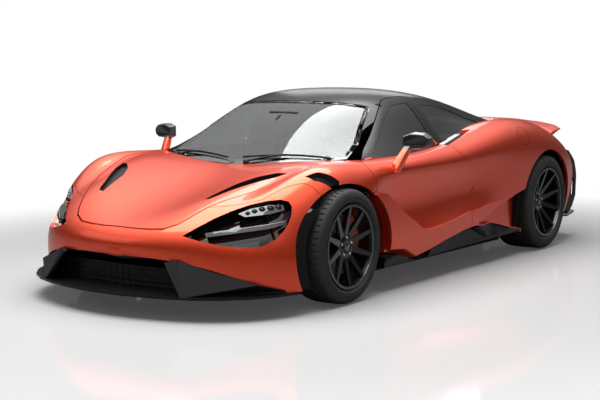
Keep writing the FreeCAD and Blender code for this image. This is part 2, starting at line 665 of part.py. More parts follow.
# Wheels, turned about X with the outer face at +X
def ring(profile):
    pts = [V(x, 0, r) for x, r in profile]
    face = Part.Face(Part.makePolygon(pts + [pts[0]]))
    return face.revolve(V(0, 0, 0), V(1, 0, 0), 360.0)


def rod(radius, x0, x1):
    return Part.makeCylinder(radius, x1 - x0, V(x0, 0, 0), V(1, 0, 0))


def tyre(radius, width, rim_d):
    w = width / 2.0
    bead = rim_d / 2.0
    profile = [(-w + 26, bead), (-w + 6, bead + 20), (-w, bead + 45), (-w + 4, radius - 32),
               (-w + 26, radius - 6), (-w + 60, radius), (w - 60, radius),
               (w - 26, radius - 6), (w - 4, radius - 32), (w, bead + 45),
               (w - 6, bead + 20), (w - 26, bead), (w - 34, bead + 12),
               (w - 20, radius - 30), (w - 60, radius - 16), (-w + 60, radius - 16),
               (-w + 20, radius - 30), (-w + 34, bead + 12)]
    return ring(profile)


def hull_of(front, back):
    faces = []
    for loop in (front, back):
        for k in range(1, len(loop) - 1):
            corners = [loop[0], loop[k], loop[k + 1], loop[0]]
            faces.append(Part.Face(Part.makePolygon(corners)))
    for k in range(len(front)):
        n = (k + 1) % len(front)
        quad = [front[k], front[n], back[n], back[k]]
        faces.append(Part.Face(Part.makePolygon(quad[:3] + [quad[0]])))
        faces.append(Part.Face(Part.makePolygon([quad[0], quad[2], quad[3], quad[0]])))
    shell = Part.makeShell(faces)
    shell.sewShape()
    solid = Part.makeSolid(shell)
    if solid.Volume < 0:
        solid.reverse()
    return solid


def rim(width, rim_d, face_x):
    w = width / 2.0
    r = rim_d / 2.0
    barrel = ring([(-w + 12, r - 2), (-w + 26, r - 2), (-w + 40, r - 14), (w - 40, r - 14),
                   (w - 26, r - 1), (w - 10, r - 1), (w - 10, r - 16), (w - 30, r - 22),
                   (-w + 30, r - 24), (-w + 12, r - 16)])
    hub = ring([(face_x - 52, hub_bore_d / 2.0), (face_x - 10, hub_bore_d / 2.0),
                (face_x - 6, 40), (face_x - 14, 74), (face_x - 52, 80)])
    cap = rod(hub_bore_d / 2.0, face_x - 26, face_x - 10)
    sleeve = ring([(face_x - 102, bearing_r), (face_x - 50, bearing_r),
                   (face_x - 50, 70), (face_x - 102, 70)])
    shape = barrel.fuse([hub, cap, sleeve])
    spokes = []
    for i in range(spoke_count):
        front = [V(face_x - 14, -20, 56), V(face_x - 14, 20, 56), V(w - 13, 10, r - 15),
                 V(w - 13, -10, r - 15)]
        back = [V(face_x - 46, -14, 56), V(face_x - 46, 14, 56), V(w - 34, 6, r - 15),
                V(w - 34, -6, r - 15)]
        spoke = hull_of(front, back)
        spoke.rotate(V(0, 0, 0), V(1, 0, 0), 360.0 / spoke_count * i)
        spokes.append(spoke)
    return shape.fuse(spokes)


def brake_disc(radius, x):
    disc = ring([(x, 60), (x + 30, 60), (x + 30, radius), (x, radius)])
    bell = ring([(x, 60), (x + 40, 60), (x + 40, 85), (x, 85)])
    return disc.fuse(bell)


def place(shape, x, y, z):
    out = shape.copy()
    out.translate(V(x, y, z))
    return out


def caliper(radius, x, turn):
    block = rod(radius + 22, x - 33, x + 63)
    block = block.cut(rod(radius - 62, x - 33, x + 63))
    block = block.cut(rod(radius + 6, x - 6, x + 36))
    ends = []
    for side in (-32, 32):
        a = math.radians(turn + side)
        ends.append((600 * math.cos(a), 600 * math.sin(a)))
    return block.common(prism_x([(0, 0), ends[0], ends[1]], x - 60, x + 90))


front_face = 91.0
rear_face = 87.0
front_disc_r = 195.0
rear_disc_r = 190.0
disc_back = 132.0
front_tyre = tyre(front_r, front_tyre_w, front_rim_d)
rear_tyre = tyre(rear_r, rear_tyre_w, rear_rim_d)
front_rim = rim(front_tyre_w, front_rim_d, front_face)
front_rim = front_rim.fuse(brake_disc(front_disc_r, front_face - disc_back))
rear_rim = rim(rear_tyre_w, rear_rim_d, rear_face)
rear_rim = rear_rim.fuse(brake_disc(rear_disc_r, rear_face - disc_back))

# Uprights: a post between the two arms, the spindle and the brake caliper
post_low = 205.0
post_high = 466.0
arm_t = 18.0


def upright(wheel_x, axle_y, wheel_r, face_x, disc_r, turn):
    back = kingpin_x - wheel_x - 20
    spindle = rod(28, back, face_x - 101).fuse(
        rod(bearing_r - bearing_gap, face_x - 101, face_x - 54))
    hub = rod(58, back, back + 40)
    reach = box(back, back + 25, -30, 30, 0, disc_r - 10)
    reach.rotate(V(0, 0, 0), V(1, 0, 0), turn - 90)
    grip = caliper(disc_r, face_x - disc_back, turn)
    whole = hub.fuse([spindle, reach, grip])
    whole.translate(V(wheel_x, axle_y, wheel_r))
    post_x = min(kingpin_x + 20, wheel_x + face_x - disc_back - 6.0)
    post = box(kingpin_x - 20, post_x, axle_y - 36, axle_y + 36, post_low, post_high)
    return whole.fuse(post)


def king_bore(axle_y, z0, z1, extra):
    return Part.makeCylinder(kingpin_r + extra, z1 - z0, V(kingpin_x, axle_y, z0))


pin_reach = 30.0
knuckle = upright(front_tyre_x, front_axle_y, front_r, front_face, front_disc_r, 15.0)
knuckle = knuckle.cut(king_bore(front_axle_y, post_low - 1, post_low + pin_reach + 2,
                                kingpin_gap))
knuckle = knuckle.cut(king_bore(front_axle_y, post_high - pin_reach - 2, post_high + 1,
                                kingpin_gap))
carrier = upright(rear_tyre_x, rear_axle_y, rear_r, rear_face, rear_disc_r, 165.0)

# Wishbones between the tub and the uprights
frame_x = 420.0
rear_arm_x = rear_tyre_x + rear_face - disc_back - 6.0


def wishbone(axle_y, z0, z1, spread):
    pad = Part.makeCylinder(30, z1 - z0, V(kingpin_x, axle_y, z0))
    legs = []
    for side in (-1, 1):
        y1 = axle_y + side * spread
        legs.append(prism_z([(frame_x, y1 - 18), (kingpin_x, axle_y - 18),
                             (kingpin_x, axle_y + 18), (frame_x, y1 + 18)], z0, z1))
    return pad.fuse(legs)


arm_gap = 2.0
low_arm = wishbone(front_axle_y, post_low - arm_gap - arm_t, post_low - arm_gap, 150)
low_arm = low_arm.fuse(king_bore(front_axle_y, post_low - arm_gap - 4,
                                 post_low + pin_reach, 0.0))
high_arm = wishbone(front_axle_y, post_high + arm_gap, post_high + arm_gap + arm_t, 120)
high_arm = high_arm.fuse(king_bore(front_axle_y, post_high - pin_reach,
                                   post_high + arm_gap + 4, 0.0))
rear_room = box(0, rear_arm_x, 1000, 1800, 100, 600)
rear_low_arm = wishbone(rear_axle_y, post_low - arm_t, post_low, 200).common(rear_room)
rear_high_arm = wishbone(rear_axle_y, post_high, post_high + arm_t, 160).common(rear_room)
arms = Part.makeCompound([low_arm, high_arm, rear_low_arm, rear_high_arm])

# Tub: floor, sills, bulkheads, luggage tray, subframes and the ribs that carry the panels
nose_floor_y = nose_y + 420
tail_floor_y = 1694.0
floor_plan = sym([(0, nose_floor_y), (300, nose_floor_y), (300, -1640), (470, -1620),
                  (470, -850), (sill_in_x, -800), (sill_out_x, -780), (sill_out_x, 960),
                  (470, 975), (470, 1640), (300, tail_floor_y), (0, tail_floor_y)])
floor = prism_z(floor_plan, floor_z, floor_top)
sill = prism_x([(-790, floor_z), (960, floor_z), (960, 300), (-790, 330)],
               sill_in_x, sill_out_x)
rear_wall = prism_x([(300, floor_z), (360, floor_z), (470, 800), (420, 800)], -700, 700)
front_wall = prism_x([(-960, floor_z), (-930, floor_z), (-985, 690), (-1015, 690)], -470, 470)
tunnel = prism_x([(-930, floor_z), (330, floor_z), (330, 330), (-930, 300)], -90, 90)
tray_side = [(-1760, 300), (-1000, 300), (-1000, 640), (-1480, 600), (-1760, 500)]
tray = prism_x(tray_side, -330, 330).cut(box(-318, 318, -1748, -1012, 312, 700))
rail = box(250, 300, nose_floor_y, -1000, floor_z, 305)
front_frame = box(400, 420, -1460, -1060, floor_z, 500)
front_tie = box(300, 400, -1280, -1240, floor_z, 305)
rear_frame = box(400, 420, 960, 1885, floor_z, 500)
hinge_rib = box(440, 905, -1012, -1000, 600, 900).common(core)
hinge_rib = hinge_rib.cut(bonnet_wide).cut(door_wide).cut(fender)
nose_rib = box(250, 960, -1752, -1740, floor_z, 900).common(core)
side_rib = box(480, 960, 948, 960, floor_top, 900).common(core)
tail_rib = box(300, 960, 1885, 1897, 190, 900).common(core)
arch_wells = oval_x(front_arch_y, front_arch_z, front_arch_ry + liner_t,
                    front_arch_rz + liner_t, 430, 1100)
rear_wells = oval_x(rear_axle_y, rear_arch_z, rear_arch_ry + liner_t,
                    rear_arch_rz + liner_t, 430, 1100)
ribs = [r.cut(arch_wells).cut(rear_wells) for r in (hinge_rib, nose_rib, side_rib, tail_rib)]
ribs[1] = ribs[1].cut(headlamp).cut(lamp_wide.common(deep_band)).cut(bonnet_wide)
hoop = box(-800, 800, 118, 150, 600, 1200).common(between(cabin_in_net, cabin_core_net))
buffers = []
for buffer_y in (-520, -60):
    buffers.append(box(sill_out_x - 1, door_in_x - stop_gap, buffer_y - 20, buffer_y + 20,
                       230, 270))
half = [sill, rail, front_frame, front_tie, rear_frame] + ribs + buffers
tub = floor.fuse([rear_wall, front_wall, tunnel, tray, hoop] + half + [mirror(s) for s in half])
tub = tub.cut(both(door_wide.common(box(sill_out_x + 12, 1100, -1000, 400, 0, 1300))))
tub = tub.cut(roof).cut(both(quarter)).cut(rear_deck)

# Wheel arch liners between the tub and the panels
liner_in_x = 500.0
front_liner = oval_x(front_arch_y, front_arch_z, front_arch_ry + liner_t,
                     front_arch_rz + liner_t, liner_in_x, 866).cut(front_arch)
rear_liner = oval_x(rear_axle_y, rear_arch_z, rear_arch_ry + liner_t,
                    rear_arch_rz + liner_t, liner_in_x, 905).cut(rear_arch)
liners = front_liner.fuse(rear_liner).common(core).common(box(0, 1000, -2000, 2000, 132, 900))
liners = liners.cut(tub).cut(door_wide).cut(quarter).cut(fender).cut(front_bumper)
liners = liners.cut(headlamp)
liners = Part.makeCompound([s for s in liners.Solids if s.Volume > 50000])

# Splitter with an upturned blade at each end
lip_half = [(0, nose_y), (150, nose_y + 8), (300, nose_y + 34), (430, nose_y + 70),
            (560, nose_y + 122), (690, nose_y + 210), (790, nose_y + 320),
            (860, nose_y + 440), (900, nose_y + 560), (915, nose_y + 600),
            (880, nose_y + 600), (700, nose_y + 480), (300, nose_y + 420),
            (0, nose_y + 420)]
splitter = prism_z(sym(lip_half), splitter_z, splitter_top)
end_front = [V(500, -2200, splitter_top - 4), V(370, -2176, 300), V(430, -2135, 312),
             V(800, -1935, 190), V(880, -1790, 150), V(884, -1786, splitter_top - 4),
             V(800, -1955, splitter_top - 4)]
end_back = [p + V(-10, 14, 0) for p in end_front]
end_blade = hull_of(end_front, end_back)
splitter = splitter.fuse([end_blade, mirror(end_blade)]).cut(front_bumper).cut(tub)

# Panel behind the lower opening of the nose, with upright vanes
grille_out = [(0, -2096), (330, -2080), (520, -2030), (650, -1955), (760, -1853), (815, -1770)]
grille_in = [(800, -1758), (748, -1838), (640, -1940), (513, -2014), (326, -2064), (0, -2080)]
front_grille = prism_z(sym(grille_out + grille_in), splitter_top, 360)
front_grille = front_grille.common(core.fuse(box(-900, 900, -2200, -1700, 0, 250)))
front_grille = front_grille.cut(front_bumper).cut(splitter).cut(tub)

# Side skirts with a winglet ahead of the rear wheel
skirt = prism_x([(y, z) for y, z in skirt_top] + [(1000, 92), (-849, 92)], sill_out_x, 920)
skirt_lip = prism_z([(sill_out_x, -849), (930, -849), (956, -790), (956, 930), (930, 1000),
                     (sill_out_x, 1000)], 86, 98)
skirt = skirt.fuse(skirt_lip)
skirt_relief = prism_x([(-860, 226), (-690, 208), (-617, 190), (-560, 168), (-470, 150),
                        (-330, 150), (-290, 190), (-290, 400), (-860, 400)], 846, 1000)
foot_relief = prism_x([(-740, 208), (-690, 182), (-617, 162), (-560, 145), (-480, 136),
                       (-290, 136), (-290, 400), (-740, 400)], 836, 899)
skirt = skirt.cut(skirt_relief).cut(foot_relief)
winglet = prism_x([(276, 262), (304, 297), (470, 286), (815, 206), (470, 186)], 880, 938)
skirt = skirt.fuse(winglet).cut(door_wide).cut(quarter).cut(arches).cut(tub)
skirt = largest(skirt.cut(liners))

# Diffuser
diffuser_plan = prism_z(sym([(0, 1690), (470, 1690), (600, 1960), (840, 2060), (840, 2190),
                             (700, 2270), (400, 2292), (0, tail_y)]), 0, 400)
diffuser = prism_x([(1690, floor_z), (2310, 211), (2310, 225), (1690, floor_z + 14)],
                   -900, 900).common(diffuser_plan)
fin_side = [(1850, 136), (2270, 208), (2270, 124), (1960, 108)]
for fin_x in (-520, -260, 0, 260, 520):
    diffuser = diffuser.fuse(prism_x(fin_side, fin_x - 8, fin_x + 8))
diffuser = diffuser.cut(tub)

# Rear panel with its outlets, and the black blade at each corner
panel_half = [(0, tail_y - 60), (400, tail_y - 85), (700, tail_y - 170),
              (860, tail_y - 290), (845, tail_y - 310), (690, tail_y - 195),
              (390, tail_y - 110), (0, tail_y - 85)]
rear_panel = prism_z(sym(panel_half), 196, 660)
outlets = []
for outlet_x in (-190, -75, 75, 190):
    pipe = Part.makeCylinder(46, 200, V(outlet_x, 2080, 590), V(0, 1, 0))
    outlets.append(pipe)
    rear_panel = rear_panel.cut(Part.makeCylinder(40, 260, V(outlet_x, 2050, 590), V(0, 1, 0)))
pipes = [p.cut(Part.makeCylinder(40, 220, V(p.CenterOfMass.x, 2070, 590), V(0, 1, 0)))
         for p in outlets]
rear_panel = rear_panel.fuse(pipes)
corner_side = [(1905, 700), (1975, 655), (2030, 612), (2064, 540), (2077, 490), (2068, 337),
               (2012, 263), (1930, 205), (1900, 240), (1900, 640)]
corner_slot = [(1985, 340), (2030, 352), (2034, 470), (2005, 480), (1985, 460)]
corner = prism_x(corner_side, 884, 898).cut(prism_x(corner_slot, 800, 1000))
rear_panel = rear_panel.cut(tail_skin)
rear_panel = rear_panel.cut(both(quarter)).cut(diffuser).cut(tub)
blade = corner.cut(tail_skin).cut(quarter)
rear_panel = rear_panel.fuse(both(blade))
rear_panel = Part.makeCompound([s for s in rear_panel.Solids if s.Volume > 20000])

lamp_line = [(470, 2182), (600, 2142), (720, 2096), (800, 2062)]
lamp_back = [(x, y - 16) for x, y in reversed(lamp_line)]
tail_lamps = prism_z(lamp_line + lamp_back, 668, 684).cut(tail_skin)
tail_lamps = largest(tail_lamps.cut(rear_panel))

# Rear wing, its two stays and the pin it tilts on
wing_hinge_y = 2110.0
wing_hinge_z = 868.0
wing_stations = [(0, 0, 0), (260, -4, -6), (500, -24, -26), (640, -58, -48), (705, -100, -70)]
wing_chord = [(2084, 872), (2092, 884), (2150, 902), (2240, 916), (2292, 921), (2298, 914),
              (2240, 900), (2160, 876), (2110, 858), (2092, 862)]


def wing_section(x, dy, dz):
    pts = [V(x, y + dy, z + dz) for y, z in wing_chord]
    return Part.makePolygon(pts + [pts[0]])


wing_half = Part.makeLoft([wing_section(*s) for s in wing_stations], True, True)
if wing_half.Volume < 0:
    wing_half.reverse()
wing = wing_half.fuse(mirror(wing_half))
stay_x = 330.0
stay_t = 20.0
stay_side = [(wing_hinge_y - 60, 780), (wing_hinge_y - 14, wing_hinge_z + 4),
             (wing_hinge_y - 8, wing_hinge_z + 13), (wing_hinge_y + 8, wing_hinge_z + 13),
             (wing_hinge_y + 14, wing_hinge_z), (wing_hinge_y + 60, 780)]
stay = prism_x(stay_side, stay_x - stay_t / 2, stay_x + stay_t / 2)
pin_x0 = stay_x - stay_t / 2 - 26
pin_size = stay_t + 52
wing_pin = Part.makeCylinder(wing_pin_r, pin_size, V(pin_x0, wing_hinge_y, wing_hinge_z),
                             V(1, 0, 0))
wing_bore = Part.makeCylinder(wing_pin_r + 0.05, pin_size + 2,
                              V(pin_x0 - 1, wing_hinge_y, wing_hinge_z), V(1, 0, 0))
lug_bar = Part.makeCylinder(13, pin_size - 2, V(pin_x0 + 1, wing_hinge_y, wing_hinge_z),
                            V(1, 0, 0))
wing_notch = box(stay_x - stay_t / 2 - 6, stay_x + stay_t / 2 + 6, wing_hinge_y - 40,
                 wing_hinge_y + 36, 800, 960)
wing = wing.fuse(both(lug_bar)).cut(both(wing_notch)).cut(both(wing_bore))
stay = stay.cut(tail_skin).common(box(0, 1000, 2000, 2300, 800, 1000))
wing_mounts = both(largest(stay).fuse(wing_pin))

# Engine, seats, dashboard, steering wheel
engine = box(-300, 300, 640, 1260, floor_top, 640)
seat_side = [(-440, floor_top), (80, floor_top), (150, 300), (310, 780), (250, 830),
             (190, 800), (40, 330), (-380, 330), (-450, 290)]
seat_core = prism_x(seat_side, 170, 640)
seat_hollow = prism_x([(-500, 265), (-30, 240), (45, 300), (205, 790), (130, 900), (-500, 900)],
                      240, 570)
seat = seat_core.cut(seat_hollow).cut(tub)
seat = largest(seat)
dash_side = [(-1010, 560), (-700, 540), (-650, 600), (-660, 690), (-760, 735), (-1040, 700)]
dash = prism_x(dash_side, -672, 672).cut(cabin_skin).cut(glass_skin).cut(nose_skin)
column_at = V(360, -560, 640)
column_dir = V(0, -0.927184, -0.374607)
column = Part.makeCylinder(26, 190, column_at + column_dir * 42, column_dir)
sleeve_bore = Part.makeCylinder(column_r + 0.1, 240, column_at + column_dir * 30, column_dir)
dash = dash.fuse(column).cut(sleeve_bore).cut(tub).cut(roof).cut(both(liners))
dash = largest(dash)
wheel_ring = Part.makeTorus(172, 16, V(0, 0, 0), V(0, 0, 1))
wheel_hub = Part.makeCylinder(45, 30, V(0, 0, -15))
wheel_bar = box(-165, 165, -14, 14, -6, 6)
wheel_post = box(-14, 14, -165, 0, -6, 6)
wheel_stem = Part.makeCylinder(column_r, 130, V(0, 0, -140))
steer = wheel_ring.fuse([wheel_hub, wheel_bar, wheel_post, wheel_stem])
steer.rotate(V(0, 0, 0), V(1, 0, 0), -68.0)
steer.translate(column_at)

# Mirrors on their stems
head_side = [V(912, -652, 868), V(918, -648, 918), V(960, -640, 934), V(1040, -628, 930),
             V(1074, -618, 905), V(1070, -620, 868), V(1030, -634, 848), V(950, -648, 846)]
head_back = [V(908, -586, 852), V(914, -580, 924), V(960, -574, 942), V(1040, -568, 938),
             V(1080, -566, 908), V(1076, -568, 862), V(1032, -574, 840), V(948, -580, 838)]
mirror_head = hull_of(head_side, head_back)
stem_low = [V(884, -760, 728), V(930, -752, 700), V(930, -690, 700), V(884, -690, 735)]
stem_high = [V(925, -650, 860), V(965, -646, 856), V(965, -606, 856), V(925, -606, 860)]
mirror_unit = mirror_head.fuse(hull_of(stem_low, stem_high))
mirror_unit = largest(mirror_unit.cut(door).cut(door_glass))

inserts = Part.makeCompound([largest(outlet_tray), arch_panel, largest(intake_tray)])

save(front_bumper, "front_bumper")
save(bonnet, "bonnet")
save(bonnet_vents, "bonnet_vents")
save_pair(fender, "fender")
save(rear_deck, "rear_deck")
save_pair(quarter, "quarter")
save_pair(headlamp, "headlamp")
save(windscreen, "windscreen")
save(roof, "roof")
save(rear_glass, "rear_glass")
save_pair(door, "door")
save_pair(door_glass, "door_glass")
save(tub, "tub")
save(both(liners), "arch_liners")
save(both(inserts), "body_inserts")
save(front_grille, "front_grille")
save(both(tail_lamps), "tail_lamps")
save(splitter, "splitter")
save(both(skirt), "skirts")
save(diffuser, "diffuser")
save(rear_panel, "rear_panel")
save(wing, "wing")
save(wing_mounts, "wing_mounts")
save(engine, "engine")
save(both(seat), "seats")
save(dash, "dashboard")
save(steer, "steering_wheel")
save_pair(mirror_unit, "mirror")
save(both(arms), "suspension_arms")
save_pair(place(front_tyre, front_tyre_x, front_axle_y, front_r), "tyre_front")
save_pair(place(rear_tyre, rear_tyre_x, rear_axle_y, rear_r), "tyre_rear")
save_pair(place(front_rim, front_tyre_x, front_axle_y, front_r), "rim_front")
save_pair(place(rear_rim, rear_tyre_x, rear_axle_y, rear_r), "rim_rear")
save_pair(knuckle, "knuckle")
save_pair(carrier, "carrier")
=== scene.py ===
import math

import bpy
from mathutils import Matrix, Vector


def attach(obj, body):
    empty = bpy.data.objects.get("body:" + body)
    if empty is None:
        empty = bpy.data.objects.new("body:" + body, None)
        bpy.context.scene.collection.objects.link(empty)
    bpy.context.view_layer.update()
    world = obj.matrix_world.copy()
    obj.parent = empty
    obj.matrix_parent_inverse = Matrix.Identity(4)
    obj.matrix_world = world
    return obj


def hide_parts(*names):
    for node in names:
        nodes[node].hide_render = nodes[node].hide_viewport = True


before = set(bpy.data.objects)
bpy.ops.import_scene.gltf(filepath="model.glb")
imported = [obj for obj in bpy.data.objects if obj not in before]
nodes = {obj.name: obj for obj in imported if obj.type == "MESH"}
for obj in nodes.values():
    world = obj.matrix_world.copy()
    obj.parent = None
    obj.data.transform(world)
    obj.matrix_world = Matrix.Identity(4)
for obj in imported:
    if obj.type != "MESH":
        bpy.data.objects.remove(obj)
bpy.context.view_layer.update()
sides = (("left", 1), ("right", -1))


# Materials
def new_material(name):
    mat = bpy.data.materials.new(name)
    mat.use_nodes = True
    shader = mat.node_tree.nodes["Principled BSDF"]
    return mat, mat.node_tree, shader


def add_node(tree, kind, **values):
    """Adds a shader node. A value goes to the input of that name, or else to the node itself."""
    node = tree.nodes.new(kind)
    for key, value in values.items():
        if key in node.inputs:
            node.inputs[key].default_value = value
        else:
            setattr(node, key, value)
    return node


def noise(tree, scale):
    place = add_node(tree, "ShaderNodeTexCoord")
    texture = add_node(tree, "ShaderNodeTexNoise", Scale=scale, Detail=3.0)
    tree.links.new(place.outputs["Object"], texture.inputs["Vector"])
    return texture.outputs["Fac"]


def vary_colour(tree, shader, fac, dark, light):
    ramp = add_node(tree, "ShaderNodeValToRGB")
    low, high = ramp.color_ramp.elements
    low.position, low.color = 0.3, (*dark, 1)
    high.position, high.color = 0.7, (*light, 1)
    tree.links.new(fac, ramp.inputs["Fac"])
    tree.links.new(ramp.outputs["Color"], shader.inputs["Base Color"])


def vary_roughness(tree, shader, fac, low, high):
    spread = add_node(tree, "ShaderNodeMapRange")
    spread.inputs["To Min"].default_value = low
    spread.inputs["To Max"].default_value = high
    tree.links.new(fac, spread.inputs["Value"])
    tree.links.new(spread.outputs["Result"], shader.inputs["Roughness"])


def raise_grain(tree, shader, height, depth, strength=1.0):
    bump = add_node(tree, "ShaderNodeBump", Strength=strength, Distance=depth)
    tree.links.new(height, bump.inputs["Height"])
    tree.links.new(bump.outputs["Normal"], shader.inputs["Normal"])


def plain_finish(name, dark, light, roughness, grain, spread=2.0, metallic=0.0, coat=0.0,
                 specular=0.5):
    """A finish that varies a little from dark to light. Its grain is a scale and a depth."""
    mat, tree, shader = new_material(name)
    shader.inputs["Specular IOR Level"].default_value = specular
    shader.inputs["Metallic"].default_value = metallic
    shader.inputs["Coat Weight"].default_value = coat
    shader.inputs["Coat Roughness"].default_value = 0.04
    vary_colour(tree, shader, noise(tree, spread), dark, light)
    vary_roughness(tree, shader, noise(tree, spread * 6), *roughness)
    raise_grain(tree, shader, noise(tree, grain[0]), grain[1])
    return mat


def orange_lacquer():
    """Body colour: fine metal flakes under a clear coat."""
    mat, tree, shader = new_material("orange_lacquer")
    shader.inputs["Metallic"].default_value = 0.75
    shader.inputs["Coat Weight"].default_value = 0.6
    shader.inputs["Coat Roughness"].default_value = 0.03
    place = add_node(tree, "ShaderNodeTexCoord")
    flakes = add_node(tree, "ShaderNodeTexVoronoi", Scale=900.0)
    tint = add_node(tree, "ShaderNodeSeparateColor")
    tree.links.new(place.outputs["Object"], flakes.inputs["Vector"])
    tree.links.new(flakes.outputs["Color"], tint.inputs["Color"])
    vary_colour(tree, shader, tint.outputs["Red"], (0.80, 0.048, 0.012), (0.98, 0.095, 0.026))
    vary_roughness(tree, shader, noise(tree, 3.0), 0.30, 0.36)
    raise_grain(tree, shader, tint.outputs["Green"], 0.0002, 0.25)
    return mat


def tinted_glass(name, colour):
    mat, tree, shader = new_material(name)
    shader.inputs["Transmission Weight"].default_value = 1.0
    shader.inputs["IOR"].default_value = 1.45
    lighter = [1.04 * level for level in colour]
    vary_colour(tree, shader, noise(tree, 1.5), colour, lighter)
    vary_roughness(tree, shader, noise(tree, 40.0), 0.0, 0.012)
    return mat


def carbon_weave():
    mat, tree, shader = new_material("carbon_weave")
    shader.inputs["Coat Weight"].default_value = 1.0
    shader.inputs["Coat Roughness"].default_value = 0.05
    place = add_node(tree, "ShaderNodeTexCoord")
    turn = add_node(tree, "ShaderNodeMapping", Rotation=(0, 0, math.radians(45)))
    weave = add_node(tree, "ShaderNodeTexChecker", Scale=260.0)
    tree.links.new(place.outputs["Object"], turn.inputs["Vector"])
    tree.links.new(turn.outputs["Vector"], weave.inputs["Vector"])
    vary_colour(tree, shader, weave.outputs["Fac"], (0.012, 0.012, 0.013), (0.028, 0.028, 0.03))
    vary_roughness(tree, shader, weave.outputs["Fac"], 0.28, 0.42)
    return mat


lacquer = orange_lacquer()
carbon = carbon_weave()
screen_glass = tinted_glass("screen_glass", (0.72, 0.78, 0.76))
dark_glass = tinted_glass("dark_glass", (0.022, 0.024, 0.026))
gloss_black = plain_finish(
    "gloss_black", (0.008, 0.008, 0.009), (0.014, 0.014, 0.015),
    roughness=(0.06, 0.12), grain=(30.0, 0.00002), coat=1.0)
satin_black = plain_finish(
    "satin_black", (0.008, 0.008, 0.009), (0.014, 0.014, 0.015),
    roughness=(0.38, 0.5), grain=(400.0, 0.0001), specular=0.25)
trim_black = plain_finish(
    "trim_black", (0.005, 0.005, 0.006), (0.009, 0.009, 0.010),
    roughness=(0.26, 0.36), grain=(160.0, 0.00003), specular=0.22)
roof_black = plain_finish(
    "roof_black", (0.006, 0.006, 0.007), (0.010, 0.010, 0.011),
    roughness=(0.18, 0.26), grain=(60.0, 0.00002), specular=0.22)
rough_black = plain_finish(
    "rough_black", (0.005, 0.005, 0.005), (0.010, 0.010, 0.010),
    roughness=(0.6, 0.75), grain=(260.0, 0.0003), specular=0.15)
screen_black = plain_finish(
    "screen_black", (0.004, 0.004, 0.006), (0.010, 0.010, 0.013),
    roughness=(0.04, 0.09), grain=(40.0, 0.00001), coat=1.0)
tyre_rubber = plain_finish(
    "tyre_rubber", (0.012, 0.012, 0.012), (0.024, 0.023, 0.022),
    roughness=(0.62, 0.82), grain=(500.0, 0.0003), spread=8.0)
rim_black = plain_finish(
    "rim_black", (0.012, 0.012, 0.013), (0.02, 0.02, 0.021),
    roughness=(0.24, 0.36), grain=(200.0, 0.00003), metallic=0.6, coat=0.5)
rim_edge = plain_finish(
    "rim_edge", (0.05, 0.05, 0.052), (0.08, 0.08, 0.083),
    roughness=(0.12, 0.2), grain=(60.0, 0.00002), metallic=0.9, coat=0.5)
disc_iron = plain_finish(
    "disc_iron", (0.14, 0.14, 0.145), (0.24, 0.24, 0.245),
    roughness=(0.3, 0.45), grain=(300.0, 0.0001), metallic=0.9)
cast_alloy = plain_finish(
    "cast_alloy", (0.22, 0.22, 0.225), (0.34, 0.34, 0.345),
    roughness=(0.4, 0.58), grain=(120.0, 0.0003), metallic=0.8)
burnt_metal = plain_finish(
    "burnt_metal", (0.16, 0.13, 0.12), (0.30, 0.26, 0.24),
    roughness=(0.2, 0.34), grain=(40.0, 0.00005), metallic=1.0)
bright_metal = plain_finish(
    "bright_metal", (0.62, 0.62, 0.63), (0.75, 0.75, 0.76),
    roughness=(0.12, 0.22), grain=(60.0, 0.00005), metallic=1.0)
caliper_orange = plain_finish(
    "caliper_orange", (0.70, 0.10, 0.015), (0.85, 0.15, 0.025),
    roughness=(0.25, 0.35), grain=(90.0, 0.0001), coat=0.6)
black_hide = plain_finish(
    "black_hide", (0.016, 0.015, 0.015), (0.032, 0.030, 0.029),
    roughness=(0.45, 0.6), grain=(700.0, 0.0004))
suede = plain_finish(
    "suede", (0.014, 0.013, 0.013), (0.030, 0.028, 0.027),
    roughness=(0.75, 0.92), grain=(900.0, 0.0004), spread=6.0)
orange_thread = plain_finish(
    "orange_thread", (0.55, 0.09, 0.02), (0.70, 0.13, 0.03),
    roughness=(0.5, 0.65), grain=(1200.0, 0.0002))
red_lens = plain_finish(
    "red_lens", (0.28, 0.004, 0.004), (0.42, 0.008, 0.006),
    roughness=(0.05, 0.1), grain=(90.0, 0.0001), coat=1.0)
marker_grey = plain_finish(
    "marker_grey", (0.42, 0.43, 0.45), (0.52, 0.53, 0.55),
    roughness=(0.12, 0.2), grain=(50.0, 0.00005), coat=1.0)

nodes_by_finish = (
    (lacquer, ("bonnet", "front_bumper", "fender_left", "fender_right", "quarter_left",
               "quarter_right", "rear_deck", "door_left", "door_right", "wing")),
    (roof_black, ("roof",)),
    (screen_glass, ("windscreen",)),
    (dark_glass, ("rear_glass", "door_glass_left", "door_glass_right")),
    (gloss_black, ("headlamp_left", "headlamp_right", "mirror_left", "mirror_right")),
    (rough_black, ("arch_liners", "body_inserts", "tub")),
    (satin_black, ("bonnet_vents", "front_grille", "rear_panel", "wing_mounts")),
    (trim_black, ("splitter", "skirts")),
    (carbon, ("diffuser",)),
    (red_lens, ("tail_lamps",)),
    (black_hide, ("seats", "dashboard", "steering_wheel")),
    (cast_alloy, ("engine", "suspension_arms", "knuckle_left", "knuckle_right",
                  "carrier_left", "carrier_right")),
    (tyre_rubber, ("tyre_front_left", "tyre_front_right", "tyre_rear_left", "tyre_rear_right")),
    (rim_black, ("rim_front_left", "rim_front_right", "rim_rear_left", "rim_rear_right")),
)
for finish, names in nodes_by_finish:
    for name in names:
        nodes[name].data.materials.clear()
        nodes[name].data.materials.append(finish)


# Modelling helpers
def deselect():
    if bpy.context.object and bpy.context.object.mode != "OBJECT":
        bpy.ops.object.mode_set(mode="OBJECT")
    bpy.ops.object.select_all(action="DESELECT")


def pick(piece):
    deselect()
    piece.select_set(True)
    bpy.context.view_layer.objects.active = piece


